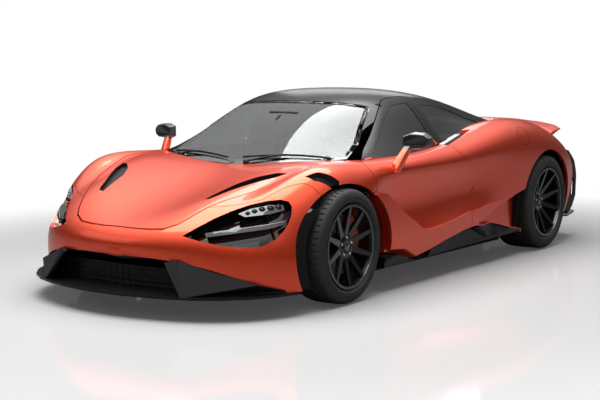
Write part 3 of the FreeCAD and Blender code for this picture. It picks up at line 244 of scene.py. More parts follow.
def settle(piece):
    pick(piece)
    bpy.ops.object.transform_apply(location=True, rotation=True, scale=True)


def start_edit(piece, kind="FACE"):
    pick(piece)
    bpy.ops.object.mode_set(mode="EDIT")
    bpy.ops.mesh.select_mode(type=kind)


def select_faces(piece, test):
    start_edit(piece)
    bpy.ops.mesh.select_all(action="DESELECT")
    bpy.ops.object.mode_set(mode="OBJECT")
    for face in piece.data.polygons:
        face.select = test(face.center, face.normal)
    bpy.ops.object.mode_set(mode="EDIT")


def use_modifier(piece, kind, **values):
    pick(piece)
    modifier = piece.modifiers.new(kind.lower(), kind)
    for key, value in values.items():
        setattr(modifier, key, value)
    bpy.ops.object.modifier_apply(modifier=modifier.name)


def close_up(piece):
    start_edit(piece)
    bpy.ops.mesh.select_all(action="SELECT")
    bpy.ops.mesh.remove_doubles(threshold=0.00005)
    bpy.ops.mesh.normals_make_consistent(inside=False)
    bpy.ops.object.mode_set(mode="OBJECT")


def finish_piece(piece, name, finish, body, smooth_below=35.0):
    """Names, paints and slots a piece, and puts it on its body."""
    pick(piece)
    bpy.ops.object.shade_smooth_by_angle(angle=math.radians(smooth_below))
    piece.name = name
    piece.data.name = name
    piece.data.materials.clear()
    piece.data.materials.append(finish)
    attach(piece, body)


def turned(rings, steps, centre, axis="X"):
    """A shape on a lathe, open at both ends. Rings are (place along the axis, radius)."""
    turn = {"X": (0, math.pi / 2, 0), "Y": (math.pi / 2, 0, 0), "Z": (0, 0, 0)}[axis]
    along = {"X": Vector((1, 0, 0)), "Y": Vector((0, 1, 0)), "Z": Vector((0, 0, 1))}[axis]
    centre = Vector(centre)
    deselect()
    place, radius = rings[0]
    bpy.ops.mesh.primitive_circle_add(vertices=steps, radius=radius, fill_type="NOTHING",
                                      location=centre + along * place, rotation=turn)
    piece = bpy.context.object
    settle(piece)
    start_edit(piece, "EDGE")
    bpy.ops.mesh.select_all(action="SELECT")
    for next_place, next_radius in rings[1:]:
        step = along * (next_place - place)
        bpy.ops.mesh.extrude_region_move(TRANSFORM_OT_translate={"value": step})
        size = [1.0 if part else next_radius / radius for part in along]
        bpy.ops.transform.resize(value=size, center_override=centre + along * next_place)
        place, radius = next_place, next_radius
    bpy.ops.object.mode_set(mode="OBJECT")
    return piece


def edit_open_ends(piece):
    start_edit(piece, "EDGE")
    bpy.ops.mesh.select_all(action="DESELECT")
    bpy.ops.mesh.select_non_manifold()


def cap_ends(piece):
    edit_open_ends(piece)
    bpy.ops.mesh.edge_face_add()
    bpy.ops.object.mode_set(mode="OBJECT")
    close_up(piece)


def join_ends(piece):
    """Closes a lathe shape into a ring, from its last edge back to its first."""
    edit_open_ends(piece)
    bpy.ops.mesh.bridge_edge_loops()
    bpy.ops.object.mode_set(mode="OBJECT")
    close_up(piece)


def capped(rings, steps, centre=(0, 0, 0), axis="Z"):
    piece = turned(rings, steps, centre, axis)
    cap_ends(piece)
    return piece


def rounded_box(low, high, radius, segments=2):
    low, high = Vector(low), Vector(high)
    deselect()
    bpy.ops.mesh.primitive_cube_add(size=1, location=(low + high) / 2)
    piece = bpy.context.object
    piece.scale = high - low
    settle(piece)
    use_modifier(piece, "BEVEL", width=radius, segments=segments, limit_method="NONE")
    return piece


def sink_face(piece, facing, border, depth):
    """Sinks the face that looks one way, inside a border."""
    facing = Vector(facing)
    select_faces(piece, lambda centre, normal: normal.dot(facing) > 0.9)
    bpy.ops.mesh.inset(thickness=border)
    bpy.ops.mesh.extrude_region_move(TRANSFORM_OT_translate={"value": facing * -depth})
    bpy.ops.object.mode_set(mode="OBJECT")


def join(pieces):
    deselect()
    for piece in pieces:
        piece.select_set(True)
    bpy.context.view_layer.objects.active = pieces[0]
    bpy.ops.object.join()
    return bpy.context.object


def turn_over(piece):
    """Takes a piece of one side to the other."""
    pick(piece)
    bpy.ops.transform.mirror(constraint_axis=(True, False, False), center_override=(0, 0, 0))
    settle(piece)
    close_up(piece)


def both_sides(piece, name, finish, body, smooth_below=35.0):
    """Finishes the left piece and a mirror image of it on the right."""
    pick(piece)
    bpy.ops.object.duplicate(linked=False)
    twin = bpy.context.object
    turn_over(twin)
    finish_piece(piece, f"{name}_left", finish, body, smooth_below)
    finish_piece(twin, f"{name}_right", finish, body, smooth_below)


def free_copy(node_name):
    """A copy of a CAD node that stands by itself, its facets joined along their edges."""
    pick(nodes[node_name])
    bpy.ops.object.duplicate(linked=False)
    piece = bpy.context.object
    piece.parent = None
    for key in list(piece.keys()):
        del piece[key]
    close_up(piece)
    return piece


def soft_copy(node_name, voxel, rounds):
    """A copy of a plain solid, remeshed and relaxed until its edges are round."""
    piece = free_copy(node_name)
    use_modifier(piece, "REMESH", mode="VOXEL", voxel_size=voxel)
    use_modifier(piece, "SMOOTH", factor=0.5, iterations=rounds)
    return piece


def plate(outline, thickness):
    """A flat plate from a filled outline of points, drawn out by its thickness."""
    deselect()
    bpy.ops.mesh.primitive_circle_add(vertices=len(outline), radius=1, fill_type="NGON")
    piece = bpy.context.object
    for vertex, point in zip(piece.data.vertices, outline):
        vertex.co = point
    start_edit(piece)
    bpy.ops.mesh.select_all(action="SELECT")
    bpy.ops.mesh.normals_make_consistent(inside=False)
    bpy.ops.mesh.extrude_region_move(TRANSFORM_OT_translate={"value": Vector(thickness)})
    bpy.ops.mesh.select_all(action="SELECT")
    bpy.ops.mesh.normals_make_consistent(inside=False)
    bpy.ops.object.mode_set(mode="OBJECT")
    return piece


def tube(points, radius, cyclic=False, curved=True, bevel_steps=3):
    """A round bar that follows a line of points."""
    deselect()
    bpy.ops.curve.primitive_nurbs_path_add()
    line = bpy.context.object
    line.data.splines.clear()
    spline = line.data.splines.new("NURBS" if curved else "POLY")
    spline.points.add(len(points) - 1)
    for point, place in zip(spline.points, points):
        point.co = (*place, 1)
    if curved:
        spline.order_u = 3
        spline.use_endpoint_u = True
    spline.use_cyclic_u = cyclic
    line.location = (0, 0, 0)
    line.data.bevel_depth = radius
    line.data.bevel_resolution = bevel_steps
    line.data.use_fill_caps = True
    pick(line)
    bpy.ops.object.convert(target="MESH")
    piece = bpy.context.object
    close_up(piece)
    return piece


def met(node_name, start, direction):
    """Where a line from a point first meets a CAD node, and the node's normal there."""
    hit, place, normal, _ = nodes[node_name].ray_cast(Vector(start), Vector(direction))
    if not hit:
        raise ValueError(f"{node_name} is not met from {start}")
    return place, normal


# Sight lines: the photograph's camera, so that details sit where the picture shows them
picture_size = (600, 400)
focal_px = 1223.25
eye = Vector((4.5973, -6.9664, 1.3184))
ahead = Vector((-0.5705, 0.8143, -0.1071)).normalized()
roll = math.radians(0.16)
level_right = ahead.cross(Vector((0, 0, 1))).normalized()
level_up = level_right.cross(ahead)
sight_right = (level_right * math.cos(roll) + level_up * math.sin(roll)).normalized()
sight_up = sight_right.cross(ahead)


def sight_line(px, py):
    return (ahead * focal_px + sight_right * (px - picture_size[0] / 2)
            + sight_up * (picture_size[1] / 2 - py)).normalized()


def spot(node_name, px, py):
    """Where the sight line through a pixel meets a CAD node."""
    return met(node_name, eye, sight_line(px, py))[0]


# Wheels: tyre tread and wall, bolts, cap, lip, valve, and painted shade for the disc's drilled
# holes
axles = {
    "front": {"x": 0.837, "y": -1.260, "radius": 0.327, "width": 0.245, "rim": 0.483,
              "face": 0.091, "disc": 0.195, "upright": "knuckle", "caliper_at": 15},
    "rear": {"x": 0.808, "y": 1.410, "radius": 0.3455, "width": 0.305, "rim": 0.508,
             "face": 0.087, "disc": 0.190, "upright": "carrier", "caliper_at": 165},
}
tread_steps = 168
tread_groove = 0.0065
groove_lip = 0.002
inner_groove = (0.012, 0.026)
outer_groove = (0.070, 0.056)
sipe_border = 0.0032
sipe_depth = 0.0045
sipe_every = 3
tread_reach = 0.008
# Each point as (in from the side wall, down from the tread), then (in, up from the bead)
shoulder_points = ((0.036, 0.0035), (0.024, 0.0075), (0.0145, 0.014), (0.0075, 0.024),
                   (0.0035, 0.036), (0.0012, 0.048), (0.0022, 0.050), (0.0005, 0.0545))
bead_points = ((0.0, 0.034), (0.0020, 0.028), (0.0005, 0.0225), (0.0030, 0.014),
               (0.0095, 0.010), (0.0165, 0.004), (0.026, 0.0))
# Rim lip: each point as (in from the rim's edge, down from its rim)
lip_points = ((0.0115, 0.0175), (0.0088, 0.0165), (0.0078, 0.009), (0.0088, 0.0015),
              (0.0115, 0.0006))
# Wheel cap and valve: each point as (out, radius)
cap_points = ((-0.012, 0.030), (0.0, 0.0305), (0.003, 0.0295), (0.0045, 0.027),
              (0.0035, 0.0255), (0.0035, 0.022), (0.0055, 0.016), (0.0065, 0.006))
cap_set_back = 0.008
valve_points = ((-0.008, 0.005), (0.0, 0.005), (0.002, 0.0035), (0.020, 0.0035),
                (0.021, 0.0045), (0.030, 0.0042))
valve_inset = 0.030
bolt_count = 5
bolt_circle = 0.052
bolt_set_back = 0.012
bolt_head = {"vertices": 6, "radius": 0.0088, "depth": 0.016}
bolt_seat = {"major_radius": 0.0112, "minor_radius": 0.0016, "major_segments": 20,
             "minor_segments": 6}
bolt_seat_set_back = 0.004
disc_set_back = 0.132
disc_thickness = 0.0302
disc_back, disc_front = -0.001, 0.041
disc_hub_radius = 0.058
disc_edge = 0.002
hole = {"vertices": 8, "radius": 0.0036, "depth": 0.0006}
holes_around = 36
hole_rows = (0.022, 0.042, 0.062)
hole_stagger = 3.3


def tyre_rings(width, radius, rim_size):
    """Half of the tyre's outline, from the middle of the tread down the wall to the bead."""
    half, bead, base = width / 2, rim_size / 2, radius - tread_groove
    near, far = inner_groove
    wide, narrow = outer_groove
    tread = [(near, radius), (near + groove_lip, base), (far - groove_lip, base),
             (far, radius), (half - wide, radius - 0.0003), (half - wide + groove_lip, base),
             (half - narrow - groove_lip, base), (half - narrow, radius - 0.0009)]
    shoulder = [(half - inward, radius - down) for inward, down in shoulder_points]
    wall = [(half - inward, bead + up) for inward, up in bead_points]
    return tread + shoulder + wall


def model_tyre(size, centre):
    outer = tyre_rings(size["width"], size["radius"], size["rim"])
    inner = [(-place, radius) for place, radius in reversed(outer)]
    piece = turned(inner + outer, tread_steps, centre, "X")
    join_ends(piece)
    half = size["width"] / 2

    def on_sipe(face_centre, _):
        away = face_centre - centre
        column = int(math.degrees(math.atan2(away.z, away.y)) / 360 * tread_steps + tread_steps)
        out = abs(away.x)
        on_shoulder = out > half - outer_groove[1]
        on_block = (out < inner_groove[0] or on_shoulder
                    or inner_groove[1] < out < half - outer_groove[0])
        on_tread = math.hypot(away.y, away.z) > size["radius"] - tread_reach
        return on_block and on_tread and (column + on_shoulder) % sipe_every == 0

    select_faces(piece, on_sipe)
    bpy.ops.mesh.inset(thickness=sipe_border, use_individual=True)
    bpy.ops.transform.shrink_fatten(value=-sipe_depth)
    bpy.ops.object.mode_set(mode="OBJECT")
    return piece


def model_bolts(size, centre, way):
    across = (0, math.pi / 2, 0)
    bolts = []
    for index in range(bolt_count):
        angle = math.pi / 2 + 2 * math.pi * index / bolt_count
        place = centre + Vector((way * (size["face"] - bolt_set_back),
                                 bolt_circle * math.cos(angle), bolt_circle * math.sin(angle)))
        bpy.ops.mesh.primitive_cylinder_add(location=place, rotation=across, **bolt_head)
        bolt = bpy.context.object
        settle(bolt)
        use_modifier(bolt, "BEVEL", width=0.0012, segments=2)
        place.x -= way * bolt_seat_set_back
        bpy.ops.mesh.primitive_torus_add(location=place, rotation=across, **bolt_seat)
        seat = bpy.context.object
        settle(seat)
        bolts += [bolt, seat]
    return join(bolts)


def model_cap(size, centre, way):
    base = size["face"] - cap_set_back
    return capped([(way * (base + out), radius) for out, radius in cap_points], 40, centre, "X")


def model_rim_lip(size, centre, way):
    half, radius = size["width"] / 2, size["rim"] / 2
    piece = turned([(way * (half - inward), radius - down) for inward, down in lip_points],
                   96, centre)
    join_ends(piece)
    return piece


def model_disc_hole_shade(size, centre, way):
    """Three rows of drilled holes, as dark caps on the disc's outer face: painted shade where
    the holes are, not holes cut in the disc.
    """
    shade_caps = []
    out = size["face"] - disc_set_back + disc_thickness
    for index in range(holes_around):
        for row, inward in enumerate(hole_rows):
            reach = size["disc"] - inward
            angle = math.radians(360 / holes_around * index + hole_stagger * row)
            place = centre + Vector((way * out, reach * math.cos(angle),
                                     reach * math.sin(angle)))
            bpy.ops.mesh.primitive_cylinder_add(location=place, rotation=(0, math.pi / 2, 0),
                                                **hole)
            shade_caps.append(bpy.context.object)
    piece = join(shade_caps)
    settle(piece)
    return piece


def model_valve(size, centre, way):
    place = centre + Vector((way * (size["width"] / 2 - valve_inset), 0,
                             valve_inset - size["rim"] / 2))
    return capped([(way * out, radius) for out, radius in valve_points], 12, place, "X")


def bare_disc(size, centre, way, rim):
    """Leaves the disc in the rim's node as bare iron."""
    rim.data.materials.append(disc_iron)
    inner_face = size["face"] - disc_set_back
    for face in rim.data.polygons:
        away = face.center - centre
        across = way * away.x - inner_face
        reach = math.hypot(away.y, away.z)
        if (disc_back < across < disc_front
                and disc_hub_radius < reach < size["disc"] + disc_edge):
            face.material_index = 1


for axle, size in axles.items():
    for side, way in sides:
        label = f"{axle}_{side}"
        body = f"wheel_{label}"
        centre = Vector((way * size["x"], size["y"], size["radius"]))
        tyre = model_tyre(size, centre)
        finish_piece(tyre, f"tread_{label}", tyre_rubber, body, 28)
        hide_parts(f"tyre_{label}")
        finish_piece(model_bolts(size, centre, way), f"wheel_bolts_{label}", bright_metal,
                     body)
        finish_piece(model_cap(size, centre, way), f"wheel_cap_{label}", gloss_black,
                     body)
        finish_piece(model_rim_lip(size, centre, way), f"rim_lip_{label}", rim_edge,
                     body)
        # Dark caps on the disc face are painted shade standing in for the drilled holes
        finish_piece(model_disc_hole_shade(size, centre, way), f"disc_hole_shade_{label}", rough_black,
                     body)
        finish_piece(model_valve(size, centre, way), f"valve_{label}", satin_black, body)
        bare_disc(size, centre, way, nodes[f"rim_{label}"])


# Cabin: seats
seat_inner, seat_outer = 0.246, 0.564
base_pad = ((seat_inner, -0.435, 0.252), (seat_outer, -0.035, 0.286))
base_channels = 5
back_pad = ((seat_inner + 0.006, 0.060, 0.286), (seat_outer - 0.006, 0.500, 0.316))
back_channels = 6
back_foot = (0.046, 0.315)
back_lean = math.radians(71.9)
head_pad = ((0.315, 0.150, 0.700), (0.495, 0.205, 0.795))
piping_line = ((-0.40, 0.334), (-0.05, 0.336), (0.045, 0.352), (0.115, 0.560), (0.190, 0.790))
piping_radius = 0.0016
pad_crown = 0.012
pad_columns, pad_rows_per_channel = 24, 8
pad_edge_share = 0.25
pad_waist = 0.004
seam_depth = 0.010


def padded_panel(low, high, rows):
    """A crowned pad with sewn channels across it. Its top face is drawn up between seams."""
    low, high = Vector(low), Vector(high)
    deselect()
    bpy.ops.mesh.primitive_grid_add(x_subdivisions=pad_columns,
                                    y_subdivisions=rows * pad_rows_per_channel, size=1,
                                    location=(low + high) / 2)
    piece = bpy.context.object
    piece.scale = (high.x - low.x, high.y - low.y, 1)
    settle(piece)
    for vertex in piece.data.vertices:
        u = (vertex.co.x - low.x) / (high.x - low.x) * 2 - 1
        v = (vertex.co.y - low.y) / (high.y - low.y)
        between_seams = abs(math.sin(math.pi * rows * v))
        inside = (1 - u ** 6) * (1 - (2 * v - 1) ** 8)
        rise = pad_edge_share + (1 - pad_edge_share) * max(0.0, inside) ** 0.5
        vertex.co.z = low.z + (high.z - low.z) * rise
        vertex.co.z += (pad_crown * (1 - u * u) - seam_depth * (1 - between_seams) ** 3) * inside
        vertex.co.x -= pad_waist * u * (1 - abs(2 * v - 1) ** 4)
    start_edit(piece)
    bpy.ops.mesh.select_all(action="SELECT")
    bpy.ops.mesh.extrude_region_move(
        TRANSFORM_OT_translate={"value": (0, 0, low.z - high.z)})
    bpy.ops.object.mode_set(mode="OBJECT")
    close_up(piece)
    return piece


def model_backrest():
    """The back pad is shaped lying down and then stood up along the seat's back."""
    pad = padded_panel(*back_pad, back_channels)
    _, foot, underside = back_pad[0]
    for vertex in pad.data.vertices:
        along = vertex.co.y - foot
        out = vertex.co.z - underside
        vertex.co.y = back_foot[0] + along * math.cos(back_lean) - out * math.sin(back_lean)
        vertex.co.z = back_foot[1] + along * math.sin(back_lean) + out * math.cos(back_lean)
    close_up(pad)
    return pad


def model_seat(side, way):
    base = padded_panel(*base_pad, base_channels)
    back = model_backrest()
    head = rounded_box(*head_pad, 0.022, 4)
    use_modifier(head, "SUBSURF", levels=1, render_levels=1)
    for pad, name, fill in ((base, "seat_pad", 0.8), (back, "back_pad", 0.8),
                            (head, "head_pad", 0.9)):
        if way < 0:
            turn_over(pad)
        finish_piece(pad, f"{name}_{side}", suede, "body", 60)
    for x in (seat_inner - 0.006, seat_outer + 0.006):
        line = [(way * x, y, z) for y, z in piping_line]
        finish_piece(tube(line, piping_radius), f"seat_piping_{side}_{round(x * 1000)}",
                     orange_thread, "body")


seat_form = soft_copy("seats", voxel=0.012, rounds=5)
finish_piece(seat_form, "seat_shells", black_hide, "body", 60)
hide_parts("seats")
for side, way in sides:
    model_seat(side, way)


# Cabin: steering wheel, modelled flat about the origin and then set on its column
steering_centre = (0.360, -0.560, 0.640)
steering_lean = math.radians(-68)
grip_radius = 0.172
grip_thickness = 0.031
grip_flat = 0.145
grip_past_flat = 0.45
# Boss and stem: each point as (towards the driver, radius)
boss_points = ((-0.014, 0.030), (-0.014, 0.043), (0.006, 0.046), (0.016, 0.040),
               (0.019, 0.028), (0.020, 0.010))
stem_points = ((-0.140, 0.0119), (-0.030, 0.0119), (-0.028, 0.030), (-0.012, 0.032))
side_arm = ((0.030, -0.020, -0.007), (0.165, 0.020, 0.007))
lower_arm = ((-0.015, 0.030, -0.007), (0.015, 0.150, 0.007))
paddle_at, paddle_half_width = 0.108, 0.028
paddle_foot, paddle_top = (-0.062, -0.034), (0.004, -0.029)


def model_steering_wheel():
    bpy.ops.mesh.primitive_torus_add(major_radius=grip_radius, major_segments=96,
                                     minor_radius=grip_thickness / 2, minor_segments=20)
    grip = bpy.context.object
    for vertex in grip.data.vertices:
        past_flat = vertex.co.y - grip_flat
        if past_flat > 0:
            vertex.co.y = grip_flat + past_flat * grip_past_flat
    boss = capped(boss_points, 40)
    stem = capped(stem_points, 32)
    arms = []
    for way in (-1, 1):
        arm = rounded_box(*side_arm, 0.005, 3)
        sink_face(arm, (0, 0, 1), 0.004, 0.003)
        if way < 0:
            turn_over(arm)
        x = way * paddle_at
        paddle = rounded_box((x - paddle_half_width, *paddle_foot),
                             (x + paddle_half_width, *paddle_top), 0.002)
        arms += [arm, paddle]
    arms.append(rounded_box(*lower_arm, 0.005, 3))
    for piece, name, finish in ((grip, "wheel_grip", suede), (boss, "wheel_boss", black_hide),
                                (join(arms), "wheel_arms", satin_black),
                                (stem, "wheel_stem", satin_black)):
        piece.rotation_euler = (steering_lean, 0, 0)
        piece.location = steering_centre
        settle(piece)
        close_up(piece)
        finish_piece(piece, name, finish, "steering_wheel", 50)
        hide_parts("steering_wheel")


# Cabin: dashboard, console and pedals
dash_front = -0.640
hood_box = ((0.215, -0.800, 0.715), (0.505, -0.690, 0.775))
dials_box = ((0.232, -0.726, 0.722), (0.488, -0.720, 0.766))
screen_box = ((-0.075, -0.672, 0.572), (0.075, dash_front, 0.716))
vent_centres = (("left", 0.610), ("mid_left", 0.140), ("mid_right", -0.140), ("right", -0.610))
vent_half_width = 0.042
vent_foot, vent_top = 0.622, 0.672
slat_count, slat_pitch, slat_thickness = 4, 0.0093, 0.0022
dash_seam = ((-0.655, -0.664, 0.692), (-0.3, -0.664, 0.694), (0, -0.664, 0.694),
             (0.3, -0.664, 0.694), (0.655, -0.664, 0.692))
seam_radius = 0.0012
console_box = ((-0.084, -0.640, 0.300), (0.084, 0.020, 0.352))
arm_rest_box = ((-0.070, -0.220, 0.346), (0.070, 0.010, 0.378))
switch_rows, switch_columns = (-0.460, -0.422, -0.384), (-0.036, 0.0, 0.036)
switch_half = 0.014
# Each pedal as (place across the car, half its width, height of its middle)
pedal_places = ((0.300, 0.040, 0.205), (0.410, 0.024, 0.190))
pedal_half_height = 0.055
pedal_back, pedal_front = -0.915, -0.903
# The arm's points are (place along the car, height above the pedal's middle)
pedal_arm = ((-0.912, 0.04), (-0.930, 0.16), (-0.925, 0.30))
pedal_arm_radius = 0.007


def model_air_vent(label, x):
    surround = rounded_box((x - vent_half_width, -0.668, vent_foot),
                           (x + vent_half_width, dash_front, vent_top), 0.006)
    sink_face(surround, (0, 1, 0), 0.006, 0.016)
    parts = [surround]
    slat_half = vent_half_width - 0.005
    for step in range(slat_count):
        z = vent_foot + 0.011 + slat_pitch * step
        parts.append(rounded_box((x - slat_half, -0.655, z),
                                 (x + slat_half, -0.643, z + slat_thickness), 0.0006))
    finish_piece(join(parts), f"air_vent_{label}", satin_black, "body")


def model_dash():
    hood = rounded_box(*hood_box, 0.016, 3)
    sink_face(hood, (0, 1, 0), 0.008, 0.030)
    finish_piece(hood, "instrument_hood", black_hide, "body")
    dials = rounded_box(*dials_box, 0.002)
    finish_piece(dials, "instrument_face", screen_black, "body")
    screen = rounded_box(*screen_box, 0.004)
    sink_face(screen, (0, 1, 0), 0.005, 0.002)
    finish_piece(screen, "centre_screen", screen_black, "body")
    for label, x in vent_centres:
        model_air_vent(label, x)
    finish_piece(tube(dash_seam, seam_radius), "dash_stitching", orange_thread, "body")


def model_console():
    console = rounded_box(*console_box, 0.012, 3)
    sink_face(console, (0, 0, 1), 0.012, 0.006)
    finish_piece(console, "centre_console", carbon, "body")
    switches = []
    for y in switch_rows:
        for x in switch_columns:
            switches.append(rounded_box((x - switch_half, y - switch_half, 0.345),
                                        (x + switch_half, y + switch_half, 0.353), 0.003))
    finish_piece(join(switches), "console_switches", satin_black, "body")
    rest = rounded_box(*arm_rest_box, 0.014, 4)
    finish_piece(rest, "arm_rest", suede, "body", 60)


def model_pedals():
    pedals = []
    for x, half, z in pedal_places:
        pad = rounded_box((x - half, pedal_back, z - pedal_half_height),
                          (x + half, pedal_front, z + pedal_half_height), 0.004)
        select_faces(pad, lambda centre, normal: normal.y > 0.9)
        bpy.ops.mesh.subdivide(number_cuts=4)
        bpy.ops.mesh.inset(thickness=0.0015, use_individual=True, depth=0.0015)
        bpy.ops.object.mode_set(mode="OBJECT")
        arm = tube([(x, y, z + above) for y, above in pedal_arm], pedal_arm_radius)
        pedals += [pad, arm]
    finish_piece(join(pedals), "pedals", bright_metal, "body")


model_steering_wheel()
model_dash()
model_console()
model_pedals()


# Lamps: places on the lamp's inner form are measured in the plane that it is seen in
lamp_at = Vector((0.720, -1.880, 0.490))
lamp_right = Vector((0.7953, 0.6062, 0.0))
lamp_up = Vector((-0.0779, 0.1022, 0.9917))
lamp_inward = Vector((-0.6012, 0.7887, -0.1285))
# Each module as (right, up, size), from the inner corner of the lamp outwards
lamp_modules = ((-0.018, 0.066, 0.011), (0.018, 0.076, 0.013), (0.058, 0.086, 0.015),
                (0.102, 0.092, 0.016), (0.146, 0.098, 0.014))
# Reflector cup and lens: each point as (out, radius as a share of the module's size)
cup_points = ((-0.004, 1.25), (0.003, 1.25), (0.004, 1.12), (0.0005, 0.9), (-0.003, 0.5))
lens_points = ((-0.001, 0.86), (0.002, 0.84), (0.0055, 0.68), (0.008, 0.4), (0.009, 0.12))
light_guide = ((-0.200, -0.038), (-0.111, -0.022), (0.0, -0.005), (0.099, 0.009),
               (0.176, 0.024))
light_guide_radius = 0.0018
fin_edge = ((-0.150, -0.046), (-0.04, -0.030), (0.070, -0.012), (0.160, 0.004))
fin_edge_radius = 0.0012
marker_centre_px = (307.0, 211.0)
marker_corners_px = ((304.0, 212.8), (305.5, 210.4), (311.0, 208.8), (312.4, 209.3),
                     (310.5, 211.9), (305.6, 213.6))
marker_lift, marker_thickness = 0.0012, 0.0022


def lamp_point(right, up, lift=0.0):
    start = lamp_at + lamp_right * right + lamp_up * up - lamp_inward * 0.4
    return met("headlamp_left", start, lamp_inward)[0] - lamp_inward * lift


def aim(piece, place, direction):
    """Turns a piece modelled about Z to point along a direction, at a place."""
    pick(piece)
    piece.rotation_mode = "QUATERNION"
    piece.rotation_quaternion = Vector((0, 0, 1)).rotation_difference(Vector(direction))
    piece.location = place
    settle(piece)
    close_up(piece)


def model_lamp_modules():
    cups, domes = [], []
    for right, up, size in lamp_modules:
        cup = capped([(out, size * share) for out, share in cup_points], 28)
        dome = capped([(out, size * share) for out, share in lens_points], 28)
        for piece in (cup, dome):
            aim(piece, lamp_point(right, up), -lamp_inward)
        cups.append(cup)
        domes.append(dome)
    both_sides(join(cups), "lamp_reflectors", rim_edge, "body", 40)
    both_sides(join(domes), "lamp_lenses", dark_glass, "body", 60)


def model_lamp_fin():
    upper = tube([lamp_point(right, up, 0.0015) for right, up in light_guide],
                 light_guide_radius)
    both_sides(upper, "lamp_light_guide", marker_grey, "body", 60)
    lower = tube([lamp_point(right, up, 0.001) for right, up in fin_edge],
                 fin_edge_radius)
    both_sides(lower, "lamp_fin_edge", rim_edge, "body", 60)


def patch_from_sight(node_name, centre_px, corners_px, lift, thickness):
    """A thin plate laid on a node, its corners placed by where the picture shows them."""
    px, py = centre_px
    place = spot(node_name, px, py)
    right = spot(node_name, px + 0.8, py) - place
    down = spot(node_name, px, py + 0.8) - place
    out = right.cross(down).normalized()
    if out.dot(ahead) > 0:
        out = -out
    outline = []
    for corner in corners_px:
        line = sight_line(*corner)
        outline.append(eye + line * ((place - eye).dot(out) / line.dot(out)) + out * lift)
    return plate(outline, out * thickness)


def model_side_markers():
    lens = patch_from_sight("body_inserts", marker_centre_px, marker_corners_px, marker_lift,
                            marker_thickness)
    both_sides(lens, "side_marker", marker_grey, "body")


# Nose: bars across the panel behind the lower opening
grille_curve = ((0.0, -2.096), (0.330, -2.080), (0.520, -2.030), (0.650, -1.955))
grille_rows = (0.150, 0.178, 0.206, 0.234)
grille_row_radius = 0.0045
grille_foot, grille_top = 0.128, 0.246
grille_pitch = 0.046
grille_posts_each_side = 13
grille_post_radius = 0.0022
grille_post_y = -2.101
grille_straight_half = 0.20
grille_sweep, grille_sweep_power = 0.40, 1.8


def grille_row(z):
    half = [(x, y - 0.004, z) for x, y in grille_curve]
    return [(-x, y, z) for x, y, z in reversed(half[1:])] + half


def model_intake_bars():
    bars = [tube(grille_row(z), grille_row_radius) for z in grille_rows]
    for index in range(-grille_posts_each_side, grille_posts_each_side + 1):
        x = index * grille_pitch
        past_straight = max(0.0, abs(x) - grille_straight_half)
        y = grille_post_y + grille_sweep * past_straight ** grille_sweep_power
        bars.append(tube([(x, y, grille_foot), (x, y, grille_top)], grille_post_radius,
                         curved=False))
    finish_piece(join(bars), "intake_bars", satin_black, "body", 50)


# Windscreen: wipers lying at its foot, a dark printed border, and the mirror inside
wiper_lift = 0.014
wiper_foot_lift = 0.010
wiper_radius = {"blade": 0.0045, "rubber": 0.0022, "arm": 0.0062}
rubber_drop = 0.006
wiper_pivot = ((-0.012, 0.019), (0.006, 0.019), (0.012, 0.013))
# Each wiper as (name, one end of its blade, the other end, its pivot)
wipers = (("wiper_left", (0.05, -1.075), (0.60, -0.945), (0.10, -1.112)),
          ("wiper_right", (-0.58, -0.955), (-0.06, -1.085), (-0.50, -1.010)))
border_width = 0.030
border_thickness = 0.0005
inside_mirror_box = ((-0.115, -0.600, 0.985), (0.115, -0.574, 1.045))
inside_glass_outline = ((-0.106, 0.993), (0.106, 0.993), (0.106, 1.037), (-0.106, 1.037))
inside_glass_y, inside_glass_thickness = -0.5735, 0.0008
inside_stem_top = (0.0, -0.700)
inside_stem_line = ((0, -0.650, 1.030), (0, -0.598, 1.018))
inside_stem_radius = 0.006


def glass_point(x, y, lift):
    place, normal = met("windscreen", (x, y, 2.0), (0, 0, -1))
    return place + normal * lift


def model_wiper(name, low_end, high_end, foot):
    blade = [glass_point(low_end[0] + (high_end[0] - low_end[0]) * share,
                         low_end[1] + (high_end[1] - low_end[1]) * share, wiper_lift)
             for share in (0.0, 0.25, 0.5, 0.75, 1.0)]
    rubber = [place - Vector((0, 0, rubber_drop)) for place in blade]
    start = glass_point(*foot, wiper_foot_lift)
    elbow = start.lerp(blade[2], 0.5) + Vector((0, 0, 0.012))
    parts = [tube(blade, wiper_radius["blade"]), tube(rubber, wiper_radius["rubber"]),
             tube([start, elbow, blade[2]], wiper_radius["arm"]),
             capped(wiper_pivot, 24, start)]
    finish_piece(join(parts), name, satin_black, "body", 50)


def model_screen_border():
    border = free_copy("windscreen")
    select_faces(border, lambda centre, normal: normal.z > 0.25 and normal.y < 0.0)
    bpy.ops.mesh.select_all(action="INVERT")
    bpy.ops.mesh.delete(type="FACE")
    bpy.ops.mesh.select_all(action="SELECT")
    bpy.ops.mesh.dissolve_limited(angle_limit=math.radians(0.01))
    bpy.ops.mesh.quads_convert_to_tris()
    bpy.ops.mesh.inset(thickness=border_width, use_boundary=True, use_even_offset=False)
    bpy.ops.mesh.delete(type="FACE")
    bpy.ops.object.mode_set(mode="OBJECT")
    use_modifier(border, "SOLIDIFY", thickness=border_thickness, offset=1.0)
    finish_piece(border, "screen_border", gloss_black, "body")


def model_inside_mirror():
    head = rounded_box(*inside_mirror_box, 0.011, 4)
    glass = plate([(x, inside_glass_y, z) for x, z in inside_glass_outline],
                  (0, inside_glass_thickness, 0))
    top = glass_point(*inside_stem_top, -0.012)
    stem = tube([top, *inside_stem_line], inside_stem_radius)
    finish_piece(join([head, stem]), "inside_mirror", satin_black, "body", 50)
    finish_piece(glass, "inside_mirror_glass", bright_metal, "body")


# Fuel flap: the line round it, laid on the left quarter
flap_centre = (0.945, 1.010, 0.855)
flap_lean = math.radians(58)
flap_line = {"major_radius": 0.074, "minor_radius": 0.0014, "major_segments": 96,
             "minor_segments": 8}


